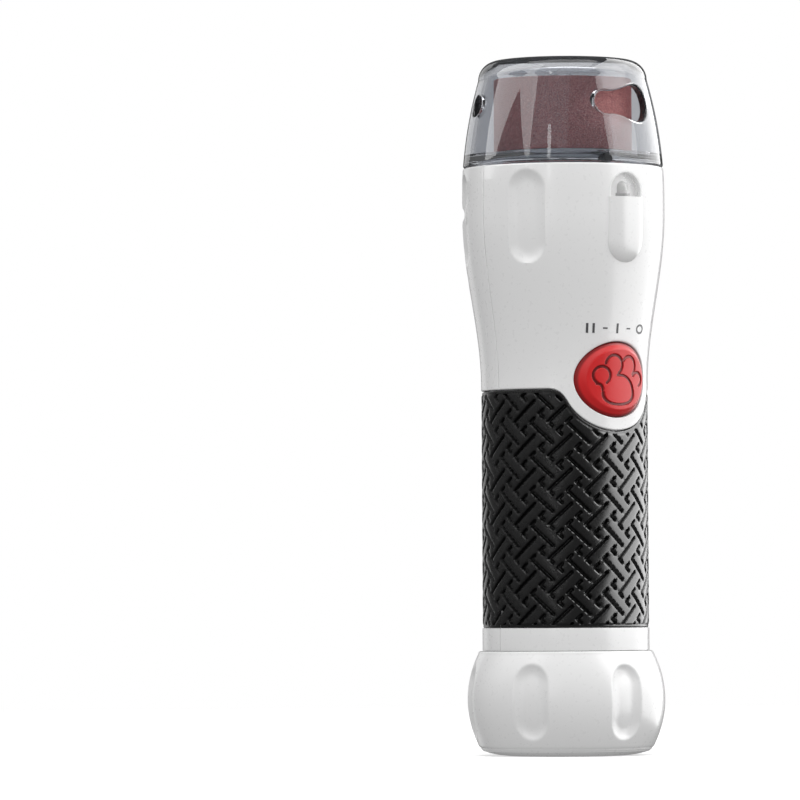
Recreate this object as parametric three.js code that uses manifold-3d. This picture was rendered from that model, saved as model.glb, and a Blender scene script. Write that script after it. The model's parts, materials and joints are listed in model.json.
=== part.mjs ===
// Battery nail trimmer for pets, standing on its base cap.
// Millimetres, +Z up, origin on the axis at the bottom of the base cap, front (button side) towards -Y.
// Azimuths are measured from the front, positive towards +X.

import * as THREE from "three";
import { mergeVertices } from "three/addons/utils/BufferGeometryUtils.js";
import Module from "manifold-3d";

const wasm = await Module();
wasm.setup();

// ---------------------------------------------------------------- driving dimensions

const GAP = 0.3;
const OVERALL_HEIGHT = 165;
const WALL = 2.2;

// Handle: a straight barrel that flares into the head.
const BARREL_R = 19.8;
const FLARE_START_Z = 88;
const FLARE_END_Z = 128;
const FLARE_GROWTH = 4.3;
const HEAD_R = BARREL_R + FLARE_GROWTH;
const HEAD_TAPER_Z = 132;
const HEAD_TAPER = 0.005;
const HOUSING_TOP_Z = 139.4;
const NECK_BOTTOM_Z = 25.1;
const BARREL_BORE_R = 16.1;

// Grip sleeve and the recess under it.
const GRIP_BOTTOM_Z = 30;
const GRIP_TOP_Z = 86.5;
const GRIP_INNER_R = 18.2;
const RECESS_R = GRIP_INNER_R - GAP;

// Push button and its oval surround.
const BUTTON_Z = 88.9;
const BUTTON_OVAL = [10.9, 9.0];
const SURROUND_OVAL = [13.9, 11.9];
const BUTTON_POCKET_OVAL = [13.0, 11.1];
const BUTTON_FLANGE_OVAL = [12.3, 10.4];
const BUTTON_PLATEAU_OVAL = [9.6, 7.7];
const BUTTON_INNER_R = 17.2;
const BUTTON_STEP_R = 20.1;
const BUTTON_TOP_R = 20.9;

// Finger dimples: six places round the head and the base cap.
const DIMPLE_AZIMUTHS = [0, 60, 120, 180, 240, 300];
const HEAD_DIMPLE = { z: 126.9, width: 9.4, height: 22, depth: 1.2 };
const CAP_DIMPLE = { z: 12.9, width: 8.8, height: 17.8, depth: 1.3 };

// Lamp pod, which takes the place of the front head dimple.
const POD = { z: HEAD_DIMPLE.z, width: 10.5, height: HEAD_DIMPLE.height, proud: 1.5 };
const LENS_BOTTOM_Z = 131.5;
const LENS_WALL = 1.2;
const LAMP_Y = -22.1;
const LAMP_Z = 131.6;

// Base cap and its coarse thread.
const CAP_BULGE_Z = 13.3;
const CAP_BULGE_R = 23.5;
const CAP_CURVE = 0.0222;
const CAP_TOP_Z = 24.8;
const CAP_FOOT_R = 13;
const CAP_EDGE_Z = 1.3;
const CAP_FLOOR_Z = 2.7;
const CAP_BORE_R = 19.4;
const SPIGOT_R = 18.5;
const SPIGOT_BOTTOM_Z = 13.6;
const THREAD = { lead: 4, turns: 1.25, depth: 0.6, rootWidth: 1.4, crestWidth: 0.7 };
const SPIGOT_THREAD_Z = 15.5;

// Cells, cradle and contacts.
const CELL_R = 13.1;
const CELL_LENGTH = 50;
const CELL_Y = 1.4;
const CELL_BOTTOM_Z = 7.9;
const CRADLE_INNER_R = CELL_R + 0.4;
const CRADLE_OUTER_R = CRADLE_INNER_R + 0.8;
const STRIP_HALF_WIDTH = 2;

// Control board and switch.
const BOARD_BACK_Y = -12.2;
const BOARD_FRONT_Y = -13.4;
const BOARD_Z = [76, 104];
const BOARD_HALF_WIDTH = 8;
const SWITCH_SIZE = 6;
const SWITCH_FRONT_Y = -15.8;

// Motor.
const MOTOR_R = 12;
const MOTOR_BOTTOM_Z = 112;
const MOTOR_TOP_Z = 138;
const SHAFT_R = 1;

// Deck under the drum.
const DECK_R = 19.5;
const DECK_TOP_Z = 140;
const DECK_PLATE_Z = MOTOR_TOP_Z + GAP;
const DECK_FLANGE_R = 21.4;
const DECK_BOTTOM_Z = 134;
const KEY_AZIMUTH = -9;

// Sanding drum and band.
const DRUM_BOTTOM_Z = 142.4;
const BAND_BOTTOM_Z = 143.1;
const BAND_TOP_Z = 160.1;
const BAND_OUTER_R = 16.4;
const BAND_INNER_R = 15.6;
const DRUM_R = 15.3;
const DRUM_FOOT_R = 16.9;

// Guard.
const GUARD_BOTTOM_Z = HOUSING_TOP_Z + GAP;
const GUARD_CORNER_Z = 160.4;
const GUARD_FLAT_R = 15.5;
const GUARD_SKIRT = { innerR: 19.9, outerR: 21.3, bottomZ: 135.8, topZ: 140.9, blendZ: 142.2 };
const PORT_Z = 153.9;
const PORT_SMALL = { x: -3.9, r: 2.7 };
const PORT_LARGE = { x: 5.4, r: 4.5 };
const PORT_NECK_HALF = 2.5;
const SIDE_PORT = { azimuth: -108, r: 2.4 };

// Housing screws.
const SCREW_X = 16;
const SCREW_ZS = [113.5, 128.6];
const SCREW_HEAD_Y = 6.3;

// Facets round the large and the small turned pieces.
const ROUND = 32;
const ROUND_MEDIUM = 28;
const ROUND_SMALL = 20;

// ---------------------------------------------------------------- materials

const plastic = (color, roughness) => new THREE.MeshStandardMaterial({ color, roughness, metalness: 0 });
const metal = (color, roughness) => new THREE.MeshStandardMaterial({ color, roughness, metalness: 1 });

const WHITE = plastic(0xe9e9ea, 0.22);
const GRIP_BLACK = plastic(0x1b1b1d, 0.6);
const BUTTON_RED = plastic(0xc8202a, 0.3);
const GRIT_BROWN = plastic(0x5c3c41, 0.95);
const DRUM_BLACK = plastic(0x222226, 0.5);
const SMOKE_CLEAR = plastic(0x9aa0aa, 0.08);
SMOKE_CLEAR.transparent = true;
SMOKE_CLEAR.opacity = 0.35;
const LENS_CLEAR = plastic(0xf2f4f6, 0.06);
LENS_CLEAR.transparent = true;
LENS_CLEAR.opacity = 0.4;
const LAMP_WHITE = plastic(0xf4f4ee, 0.15);
const STEEL = metal(0xa8abae, 0.35);
const BRASS = metal(0xc9a85a, 0.35);
const COPPER = metal(0xb87048, 0.4);
const MAGNET_GREY = plastic(0x3a3a3c, 0.7);
const BOARD_GREEN = plastic(0x1f5a35, 0.5);
const WIRE_RED = plastic(0xa52020, 0.5);
const WIRE_WHITE = plastic(0xd8d8d4, 0.5);
const CELL_BLUE = plastic(0x2c4a78, 0.35);
const SEAL_GREY = plastic(0x303236, 0.8);

// ---------------------------------------------------------------- solid helpers

const radians = (degrees) => (degrees * Math.PI) / 180;
const smoothStep = (t) => t * t * (3 - 2 * t);
const range = (from, to, steps) => Array.from({ length: steps + 1 }, (_, i) => from + ((to - from) * i) / steps);

// A manifold solid from a closed three.js geometry, whichever way its faces point.
function solid(geometry) {
  const bare = geometry.clone();
  for (const name of Object.keys(bare.attributes)) {
    if (name !== "position") {
      bare.deleteAttribute(name);
    }
  }
  const merged = mergeVertices(bare, 1e-4);
  const position = merged.attributes.position;
  const index = merged.index.array;
  const triangles = [];
  let volume = 0;
  const [a, b, c] = [new THREE.Vector3(), new THREE.Vector3(), new THREE.Vector3()];
  for (let i = 0; i < index.length; i += 3) {
    const [p, q, r] = [index[i], index[i + 1], index[i + 2]];
    if (p === q || q === r || r === p) {
      continue;
    }
    triangles.push([p, q, r]);
    a.fromBufferAttribute(position, p);
    b.fromBufferAttribute(position, q);
    c.fromBufferAttribute(position, r);
    volume += a.dot(b.cross(c));
  }
  const outward = volume > 0 ? triangles : triangles.map(([p, q, r]) => [p, r, q]);
  return new wasm.Manifold(new wasm.Mesh({
    numProp: 3,
    vertProperties: new Float32Array(position.array),
    triVerts: new Uint32Array(outward.flat()),
  }));
}

// The three.js geometry of a manifold solid.
function toGeometry(body) {
  const result = body.getMesh();
  const geometry = new THREE.BufferGeometry();
  geometry.setAttribute("position", new THREE.BufferAttribute(new Float32Array(result.vertProperties), 3));
  geometry.setIndex(new THREE.BufferAttribute(new Uint32Array(result.triVerts), 1));
  geometry.computeVertexNormals();
  return geometry;
}

// A turned solid about Z from [radius, z] points, which run axis to axis or form a closed loop.
function turned(points, segments = ROUND) {
  const profile = points.map(([r, z]) => new THREE.Vector2(r, z));
  const geometry = new THREE.LatheGeometry(profile, segments);
  geometry.rotateX(Math.PI / 2);
  return solid(geometry);
}

// A ring about Z with a rectangular section.
function ring(innerR, outerR, bottom, top, segments = ROUND) {
  return turned([
    [innerR, bottom],
    [outerR, bottom],
    [outerR, top],
    [innerR, top],
    [innerR, bottom],
  ], segments);
}

// A disc or rod about Z.
function rod(radius, bottom, top, segments = ROUND_SMALL) {
  const geometry = new THREE.CylinderGeometry(radius, radius, top - bottom, segments);
  geometry.rotateX(Math.PI / 2);
  geometry.translate(0, 0, (bottom + top) / 2);
  return solid(geometry);
}

// A rod along Y through (x, z).
function rodAlongY(radius, x, z, fromY, toY, segments = 14) {
  const geometry = new THREE.CylinderGeometry(radius, radius, toY - fromY, segments);
  geometry.translate(x, (fromY + toY) / 2, z);
  return solid(geometry);
}

// A box from its lowest to its highest corner.
function box(low, high) {
  const geometry = new THREE.BoxGeometry(high[0] - low[0], high[1] - low[1], high[2] - low[2]);
  geometry.translate((low[0] + high[0]) / 2, (low[1] + high[1]) / 2, (low[2] + high[2]) / 2);
  return solid(geometry);
}

// A flat outline in X and Z, extruded along Y.
function prismAlongY(shape, fromY, toY, curveSegments = 8) {
  const geometry = new THREE.ExtrudeGeometry(shape, { depth: toY - fromY, bevelEnabled: false, curveSegments });
  geometry.rotateX(Math.PI / 2);
  geometry.translate(0, toY, 0);
  return solid(geometry);
}

// A flat outline in X and Y, extruded along Z.
function prismAlongZ(shape, bottom, top, curveSegments = 8) {
  const geometry = new THREE.ExtrudeGeometry(shape, { depth: top - bottom, bevelEnabled: false, curveSegments });
  geometry.translate(0, 0, bottom);
  return solid(geometry);
}

// An oval column through the front wall, centred on the button.
function buttonColumn([halfWidth, halfHeight], grow = 0) {
  const oval = new THREE.Shape();
  oval.absellipse(0, BUTTON_Z, halfWidth + grow, halfHeight + grow, 0, 2 * Math.PI);
  return prismAlongY(oval, -30, -8, 12);
}

// A capsule standing along Z that meets a wall of radius wallR at the given azimuth in a long oval:
// its far side passes the wall by `reach`, outwards when it makes a pod and inwards when it cuts a dimple.
function wallCapsule({ z, width, height }, azimuth, wallR, reach, outwards) {
  const half = width / 2;
  const wallSagitta = wallR - Math.sqrt(wallR ** 2 - half ** 2);
  const rise = outwards ? reach + wallSagitta : reach - wallSagitta;
  const radius = (half ** 2 + rise ** 2) / (2 * rise);
  const endRun = Math.sqrt(radius ** 2 - (radius - reach) ** 2);
  const geometry = new THREE.CapsuleGeometry(radius, height - 2 * endRun, 6, 28);
  geometry.rotateX(Math.PI / 2);
  const centreR = outwards ? wallR + reach - radius : wallR - reach + radius;
  geometry.translate(0, -centreR, z);
  geometry.rotateZ(radians(azimuth));
  return solid(geometry);
}

// A helical ridge about Z, from a base radius to a crest radius.
function threadRidge(baseR, crestR, startZ) {
  const stepsPerTurn = 24;
  const steps = Math.round(THREAD.turns * stepsPerTurn);
  const section = [
    [baseR, -THREAD.rootWidth / 2],
    [crestR, -THREAD.crestWidth / 2],
    [crestR, THREAD.crestWidth / 2],
    [baseR, THREAD.rootWidth / 2],
  ];
  const positions = [];
  const index = [];
  for (let step = 0; step <= steps; step++) {
    const turn = step / stepsPerTurn;
    const angle = 2 * Math.PI * turn;
    for (const [r, z] of section) {
      positions.push(r * Math.cos(angle), r * Math.sin(angle), startZ + THREAD.lead * turn + z);
    }
  }
  for (let step = 0; step < steps; step++) {
    for (let corner = 0; corner < 4; corner++) {
      const a = 4 * step + corner;
      const b = 4 * step + ((corner + 1) % 4);
      index.push(a, b, b + 4, a, b + 4, a + 4);
    }
  }
  const last = 4 * steps;
  index.push(0, 2, 1, 0, 3, 2);
  index.push(last, last + 1, last + 2, last, last + 2, last + 3);
  const geometry = new THREE.BufferGeometry();
  geometry.setAttribute("position", new THREE.BufferAttribute(new Float32Array(positions), 3));
  geometry.setIndex(index);
  return solid(geometry);
}

// A round tube along a smooth curve through the given points.
function tubeThrough(points, radius, steps, sides = 6) {
  const path = new THREE.CatmullRomCurve3(points.map((point) => new THREE.Vector3(...point)));
  const section = new THREE.Shape();
  section.absarc(0, 0, radius, 0, 2 * Math.PI);
  const options = { steps, extrudePath: path, curveSegments: sides / 2, bevelEnabled: false };
  return solid(new THREE.ExtrudeGeometry(section, options));
}

// ---------------------------------------------------------------- outer form

// Outer radius of the housing and the guard at a height.
function bodyRadius(z) {
  if (z > HEAD_TAPER_Z) {
    return HEAD_R - HEAD_TAPER * (z - HEAD_TAPER_Z) ** 2;
  }
  const t = THREE.MathUtils.clamp((z - FLARE_START_Z) / (FLARE_END_Z - FLARE_START_Z), 0, 1);
  return BARREL_R + FLARE_GROWTH * smoothStep(t);
}

function capRadius(z) {
  return CAP_BULGE_R - CAP_CURVE * (z - CAP_BULGE_Z) ** 2;
}

const flareHeights = [...range(FLARE_START_Z, FLARE_END_Z, 6), HEAD_TAPER_Z, 136, HOUSING_TOP_Z];

function outerBody() {
  return turned([
    [0, SPIGOT_BOTTOM_Z],
    [SPIGOT_R, SPIGOT_BOTTOM_Z],
    [SPIGOT_R, NECK_BOTTOM_Z],
    [BARREL_R, NECK_BOTTOM_Z],
    ...flareHeights.map((z) => [bodyRadius(z), z]),
    [0, HOUSING_TOP_Z],
  ]);
}

function innerCavity() {
  const above = range(FLARE_START_Z, FLARE_END_Z, 4).map((z) => [bodyRadius(z) - WALL, z]);
  return turned([
    [0, SPIGOT_BOTTOM_Z - 1],
    [BARREL_BORE_R, SPIGOT_BOTTOM_Z - 1],
    [BARREL_BORE_R, FLARE_START_Z - 1],
    ...above,
    [bodyRadius(HOUSING_TOP_Z) - WALL, HOUSING_TOP_Z + 1],
    [0, HOUSING_TOP_Z + 1],
  ]);
}

// The part of a pod-shaped capsule that lies in and outside the front wall, below the guard joint.
function podBulge(size, proud) {
  const reach = box([-10, -30, NECK_BOTTOM_Z], [10, -21, HOUSING_TOP_Z - GAP]);
  return wallCapsule(size, 0, HEAD_R, proud, true).intersect(reach);
}

const lampPod = () => podBulge(POD, POD.proud);

// ---------------------------------------------------------------- housing

// Both housing halves in one, before the bosses and the parting cut.
function wholeHousing() {
  const recess = ring(RECESS_R, BARREL_R + 2, GRIP_BOTTOM_Z, GRIP_TOP_Z);
  const grooved = outerBody().subtract(recess.subtract(buttonColumn(SURROUND_OVAL)));
  const thread = threadRidge(SPIGOT_R - 0.5, SPIGOT_R + THREAD.depth, SPIGOT_THREAD_Z);
  let body = grooved.add(thread).add(lampPod()).subtract(innerCavity());
  for (const azimuth of DIMPLE_AZIMUTHS.filter((angle) => angle !== 0)) {
    body = body.subtract(wallCapsule(HEAD_DIMPLE, azimuth, HEAD_R, HEAD_DIMPLE.depth, false));
  }
  return body;
}

const halfSpace = (side) => {
  const [from, to] = side < 0 ? [-40, -GAP / 2] : [GAP / 2, 40];
  return box([-40, from, 0], [40, to, OVERALL_HEIGHT]);
};

const screwPlaces = SCREW_ZS.flatMap((z) => [[-SCREW_X, z], [SCREW_X, z]]);

function frontShell(housing) {
  const pocket = buttonColumn(BUTTON_POCKET_OVAL).intersect(rod(BUTTON_INNER_R + 0.4, 70, 110, ROUND));
  const opening = { ...POD, width: POD.width + 2 * GAP, height: POD.height + 2 * GAP };
  const aboveLensFoot = box([-10, -30, LENS_BOTTOM_Z - GAP], [10, -10, HOUSING_TOP_Z]);
  const lensOpening = podBulge(opening, POD.proud + GAP).intersect(aboveLensFoot);
  const interior = outerBody();
  let shell = housing;
  for (const [x, z] of screwPlaces) {
    shell = shell.add(rodAlongY(3, x, z, -30, -GAP / 2).intersect(interior));
  }
  shell = shell.subtract(pocket).subtract(buttonColumn(BUTTON_OVAL, GAP)).subtract(lensOpening);
  for (const [x, z] of screwPlaces) {
    shell = shell.subtract(rodAlongY(1.3, x, z, -8.5, 1));
  }
  return shell.intersect(halfSpace(-1));
}

function rearShell(housing) {
  const interior = outerBody();
  let shell = housing;
  for (const [x, z] of screwPlaces) {
    shell = shell.add(rodAlongY(3.5, x, z, GAP / 2, 30).intersect(interior));
  }
  for (const [x, z] of screwPlaces) {
    shell = shell.subtract(rodAlongY(1.4, x, z, -1, SCREW_HEAD_Y));
    shell = shell.subtract(rodAlongY(2.6, x, z, SCREW_HEAD_Y - GAP, 30));
  }
  return shell.intersect(halfSpace(1));
}

function housingScrew(x, z) {
  return rodAlongY(1.1, x, z, -8, SCREW_HEAD_Y + 0.1, 10).add(rodAlongY(2.2, x, z, SCREW_HEAD_Y, SCREW_HEAD_Y + 1.8));
}

function gripSleeve() {
  const sleeve = ring(GRIP_INNER_R, BARREL_R, GRIP_BOTTOM_Z + GAP, GRIP_TOP_Z - GAP);
  return sleeve.subtract(buttonColumn(SURROUND_OVAL, GAP));
}

function lampLens() {
  const inner = { ...POD, width: POD.width - 2 * LENS_WALL, height: POD.height - 2 * LENS_WALL };
  const shell = lampPod().subtract(wallCapsule(inner, 0, HEAD_R, POD.proud - LENS_WALL, true));
  return shell.intersect(box([-10, -30, LENS_BOTTOM_Z], [10, -21.6, HOUSING_TOP_Z - 2 * GAP]));
}

function lamp() {
  const bodyR = 1.5;
  const bodyTop = 3.6;
  const dome = range(0, 90, 4).map((angle) => [
    bodyR * Math.cos(radians(angle)),
    bodyTop - bodyR + bodyR * Math.sin(radians(angle)),
  ]);
  const lampBody = turned([[0, 0], [1.9, 0], [1.9, 0.8], [bodyR, 0.8], ...dome], 16);
  return lampBody.translate([0, LAMP_Y, LAMP_Z]);
}

// ---------------------------------------------------------------- button and switch

function pushButton() {
  const lower = buttonColumn(BUTTON_OVAL).intersect(rod(BUTTON_STEP_R, 70, 110, 44));
  const upper = buttonColumn(BUTTON_PLATEAU_OVAL).intersect(rod(BUTTON_TOP_R, 70, 110, 44));
  const flange = buttonColumn(BUTTON_FLANGE_OVAL).intersect(rod(BUTTON_INNER_R + 0.05, 70, 110, 44));
  const flangeHollow = buttonColumn([8.8, 7.2]);
  const face = lower.add(upper).subtract(rod(BUTTON_INNER_R, 70, 110, 44));
  const rim = flange.subtract(rod(BUTTON_INNER_R - 0.8, 70, 110, 44)).subtract(flangeHollow);
  return face.add(rim);
}

function switchBody() {
  const half = SWITCH_SIZE / 2;
  const block = box([-half, SWITCH_FRONT_Y, BUTTON_Z - half], [half, BOARD_FRONT_Y - 0.2, BUTTON_Z + half]);
  return block.subtract(rodAlongY(2, 0, BUTTON_Z, SWITCH_FRONT_Y - 1, SWITCH_FRONT_Y + 1.6));
}

const switchPlunger = () => rodAlongY(1.7, 0, BUTTON_Z, -16.9, SWITCH_FRONT_Y + 0.7);

function controlBoard() {
  const board = box([-BOARD_HALF_WIDTH, BOARD_FRONT_Y, BOARD_Z[0]], [BOARD_HALF_WIDTH, BOARD_BACK_Y, BOARD_Z[1]]);
  const chip = box([-2.5, BOARD_FRONT_Y - 1, 95.5], [2.5, BOARD_FRONT_Y + 0.2, 99.5]);
  return board.add(chip);
}

// ---------------------------------------------------------------- cells and contacts

function cell(bottom) {
  const shoulder = CELL_LENGTH - 1.8;
  const body = turned([
    [0, 0],
    [CELL_R - 0.8, 0],
    [CELL_R, 0.6],
    [CELL_R, shoulder - 0.6],
    [CELL_R - 0.8, shoulder],
    [3.6, shoulder],
    [3.2, CELL_LENGTH],
    [0, CELL_LENGTH],
  ], ROUND_SMALL);
  return body.translate([0, CELL_Y, bottom]);
}

function cellCradle() {
  const opening = radians(60);
  const front = -Math.PI / 2;
  const outline = new THREE.Shape();
  outline.absarc(0, CELL_Y, CRADLE_OUTER_R, front + opening, front - opening + 2 * Math.PI);
  outline.absarc(0, CELL_Y, CRADLE_INNER_R, front - opening + 2 * Math.PI, front + opening, true);
  return prismAlongZ(outline, 27, 107.5, 14);
}

// A strip bent in Y and Z from a chain of boxes.
function bentStrip(boxes) {
  const parts = boxes.map(([y0, z0, y1, z1]) => box([-STRIP_HALF_WIDTH, y0, z0], [STRIP_HALF_WIDTH, y1, z1]));
  return parts.reduce((whole, part) => whole.add(part));
}

const contactStrip = () => bentStrip([[-15.7, 3.8, -15.3, 77.4], [-15.5, 77, -13.7, 77.4]]);

function topContact() {
  const plateZ = CELL_BOTTOM_Z + 2 * CELL_LENGTH + GAP;
  const tab = bentStrip([[-14.1, plateZ, -6, plateZ + 0.4], [-14.1, 100.5, -13.7, plateZ + 0.4]]);
  return rod(9, plateZ, plateZ + 0.4).add(tab);
}

const contactDisc = () => rod(16.8, CAP_FLOOR_Z + GAP, CAP_FLOOR_Z + GAP + 0.5, ROUND_MEDIUM);

function baseSpring() {
  const turns = 2.5;
  const points = range(0, 1, 20).map((t) => {
    const angle = 2 * Math.PI * turns * t;
    const radius = 8.5 - 3.5 * t;
    return [radius * Math.cos(angle), radius * Math.sin(angle), 4.2 + 3 * t];
  });
  return tubeThrough(points, 0.4, 32, 4);
}

// ---------------------------------------------------------------- base cap

function capFace() {
  const foot = range(CAP_FOOT_R, capRadius(CAP_EDGE_Z), 3).map((r) => {
    const t = (r - CAP_FOOT_R) / (capRadius(CAP_EDGE_Z) - CAP_FOOT_R);
    return [r, CAP_EDGE_Z * t * t];
  });
  const side = range(CAP_EDGE_Z, CAP_TOP_Z - 0.5, 7).slice(1).map((z) => [capRadius(z), z]);
  return [[0, 0], ...foot, ...side, [capRadius(CAP_TOP_Z) - 0.4, CAP_TOP_Z]];
}

function baseCap() {
  let cap = turned([
    ...capFace(),
    [CAP_BORE_R, CAP_TOP_Z],
    [CAP_BORE_R, CAP_FLOOR_Z + 1],
    [CAP_BORE_R - 1, CAP_FLOOR_Z],
    [0, CAP_FLOOR_Z],
  ]);
  for (const azimuth of DIMPLE_AZIMUTHS) {
    cap = cap.subtract(wallCapsule(CAP_DIMPLE, azimuth, CAP_BULGE_R, CAP_DIMPLE.depth, false));
  }
  const ridge = threadRidge(CAP_BORE_R + 0.5, CAP_BORE_R - THREAD.depth, SPIGOT_THREAD_Z + THREAD.lead / 2);
  return cap.add(ridge);
}

const capSeal = () => ring(SPIGOT_R + 0.2, SPIGOT_R + 0.7, 23.9, NECK_BOTTOM_Z - 0.2);

// ---------------------------------------------------------------- motor

function motorCan() {
  const wall = 0.6;
  return turned([
    [MOTOR_R - wall, MOTOR_BOTTOM_Z + 2.2],
    [MOTOR_R, MOTOR_BOTTOM_Z + 2.2],
    [MOTOR_R, MOTOR_TOP_Z - 0.8],
    [MOTOR_R - 0.8, MOTOR_TOP_Z],
    [3.3, MOTOR_TOP_Z],
    [3.3, MOTOR_TOP_Z - wall],
    [MOTOR_R - wall, MOTOR_TOP_Z - wall],
    [MOTOR_R - wall, MOTOR_BOTTOM_Z + 2.2],
  ], ROUND_MEDIUM);
}

const motorEndCap = () => ring(2.9, MOTOR_R - 0.1, MOTOR_BOTTOM_Z, MOTOR_BOTTOM_Z + 1.9, ROUND_MEDIUM);
const frontBush = () => ring(SHAFT_R + 0.1, 3, MOTOR_TOP_Z - 1.6, DECK_TOP_Z - 0.2, 12);
const rearBush = () => ring(SHAFT_R + 0.1, 2.6, MOTOR_BOTTOM_Z, MOTOR_BOTTOM_Z + 1.9, 12);

function fieldMagnet(side) {
  const half = radians(56);
  const middle = side > 0 ? 0 : Math.PI;
  const outline = new THREE.Shape();
  outline.absarc(0, 0, 11.1, middle - half, middle + half);
  outline.absarc(0, 0, 9.4, middle + half, middle - half, true);
  return prismAlongZ(outline, 116.5, 134.5, 7);
}

// A wound rotor with three poles.
function armature() {
  let core = rod(4.2, 118, 131);
  for (const angle of [0, 120, 240]) {
    const half = radians(50);
    const pole = new THREE.Shape();
    pole.absarc(0, 0, 8.9, radians(angle) - half, radians(angle) + half);
    pole.absarc(0, 0, 6.9, radians(angle) + half, radians(angle) - half, true);
    const arm = box([0, -1.8, 118], [7.5, 1.8, 131]).rotate([0, 0, angle]);
    core = core.add(prismAlongZ(pole, 118, 131, 6)).add(arm);
  }
  return core.subtract(rod(SHAFT_R + 0.2, 117, 132, 12));
}

const commutator = () => ring(SHAFT_R + 0.2, 2.8, 114.2, 117.6, 12);
const motorShaft = () => rod(SHAFT_R, 110.6, 158.6, 12);
const motorTerminal = (side) => box([side * 8 - 1, -0.3, 109.9], [side * 8 + 1, 0.3, MOTOR_BOTTOM_Z - 0.2]);

function motorScrew(side) {
  return rod(1.9, DECK_TOP_Z + 0.1, DECK_TOP_Z + 1.3, 12).add(rod(1, DECK_PLATE_Z - 0.1, DECK_TOP_Z + 0.2, 12))
    .translate([side * 6.5, 0, 0]);
}

// ---------------------------------------------------------------- deck, drum and band

function deck() {
  const body = turned([
    [3.4, DECK_PLATE_Z],
    [DECK_R - 2, DECK_PLATE_Z],
    [DECK_R - 2, DECK_BOTTOM_Z],
    [DECK_FLANGE_R, DECK_BOTTOM_Z],
    [DECK_FLANGE_R, DECK_BOTTOM_Z + 1.4],
    [DECK_R, DECK_BOTTOM_Z + 1.4],
    [DECK_R, DECK_TOP_Z],
    [3.4, DECK_TOP_Z],
    [3.4, DECK_PLATE_Z],
  ], ROUND_MEDIUM);
  const holes = [-1, 1].map((side) => rod(1.3, 130, 145, 12).translate([side * 6.5, 0, 0]));
  const lampNotch = box([-3, -25, DECK_BOTTOM_Z - 1], [3, -DECK_R - 0.1, DECK_BOTTOM_Z + 2]);
  return holes.reduce((plate, hole) => plate.subtract(hole), body.subtract(lampNotch));
}

const keyBlock = (halfWidth, innerR, outerR, bottom, top) =>
  box([-halfWidth, -outerR, bottom], [halfWidth, -innerR, top]).rotate([0, 0, KEY_AZIMUTH]);

const guardKey = () => keyBlock(0.95, 17.6, 20.9, DECK_TOP_Z + 0.2, 142.4);

function drumHub() {
  return turned([
    [SHAFT_R + 0.2, DRUM_BOTTOM_Z],
    [3.2, DRUM_BOTTOM_Z],
    [3.2, 157.6],
    [DRUM_R - 1.6, 157.6],
    [DRUM_R - 1.6, DRUM_BOTTOM_Z],
    [DRUM_FOOT_R, DRUM_BOTTOM_Z],
    [DRUM_FOOT_R, BAND_BOTTOM_Z - 0.2],
    [DRUM_R, BAND_BOTTOM_Z - 0.1],
    [DRUM_R, BAND_TOP_Z - 0.4],
    [DRUM_R - 0.6, BAND_TOP_Z + 0.1],
    [SHAFT_R + 0.2, BAND_TOP_Z + 0.1],
    [SHAFT_R + 0.2, DRUM_BOTTOM_Z],
  ], ROUND_MEDIUM);
}

const sandingBand = () => ring(BAND_INNER_R, BAND_OUTER_R, BAND_BOTTOM_Z, BAND_TOP_Z);

function drumScrew() {
  return turned([[0, 159], [0.9, 159], [0.9, 160.5], [2.6, 160.5], [2.6, 161.4], [1.9, 161.9], [0, 162]], 16);
}

// ---------------------------------------------------------------- guard

function guardProfile(inset, topZ) {
  const side = range(GUARD_BOTTOM_Z, GUARD_CORNER_Z, 4).map((z) => [bodyRadius(z) - inset, z]);
  const startR = bodyRadius(GUARD_CORNER_Z) - inset;
  const flatR = GUARD_FLAT_R - inset / 2;
  const corner = range(0, 90, 4).slice(1).map((angle) => [
    flatR + (startR - flatR) * Math.cos(radians(angle)),
    GUARD_CORNER_Z + (topZ - GUARD_CORNER_Z) * Math.sin(radians(angle)),
  ]);
  return [...side, ...corner];
}

// The front port: a small and a large round joined by a neck.
function frontPort() {
  const outline = new THREE.Shape();
  const smallAngle = Math.asin(PORT_NECK_HALF / PORT_SMALL.r);
  const largeAngle = Math.asin(0.75);
  outline.absarc(PORT_SMALL.x, PORT_Z, PORT_SMALL.r, smallAngle, 2 * Math.PI - smallAngle);
  outline.absarc(PORT_LARGE.x, PORT_Z, PORT_LARGE.r, Math.PI + largeAngle, Math.PI - largeAngle + 2 * Math.PI);
  return prismAlongY(outline, -30, -12, 14);
}

function guard() {
  const innerTop = OVERALL_HEIGHT - WALL;
  const inner = guardProfile(WALL, innerTop).filter(([, z]) => z > GUARD_SKIRT.blendZ);
  const outer = turned([
    [0, GUARD_BOTTOM_Z],
    ...guardProfile(0, OVERALL_HEIGHT),
    [0, OVERALL_HEIGHT],
  ]);
  const hollow = turned([
    [0, GUARD_SKIRT.bottomZ - 1],
    [GUARD_SKIRT.innerR, GUARD_SKIRT.bottomZ - 1],
    [GUARD_SKIRT.innerR, GUARD_SKIRT.topZ],
    [bodyRadius(GUARD_SKIRT.blendZ) - WALL, GUARD_SKIRT.blendZ],
    ...inner,
    [0, innerTop],
  ]);
  const skirt = ring(GUARD_SKIRT.innerR, GUARD_SKIRT.outerR, GUARD_SKIRT.bottomZ, GUARD_BOTTOM_Z + 0.5);
  const sidePort = rodAlongY(SIDE_PORT.r, 0, PORT_Z, -30, -12, 20).rotate([0, 0, SIDE_PORT.azimuth]);
  const keySlot = keyBlock(1.3, 17, 21.5, GUARD_SKIRT.bottomZ - 1, 142.8);
  return outer.subtract(hollow).add(skirt).subtract(frontPort()).subtract(sidePort).subtract(keySlot);
}

// ---------------------------------------------------------------- wires

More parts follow.
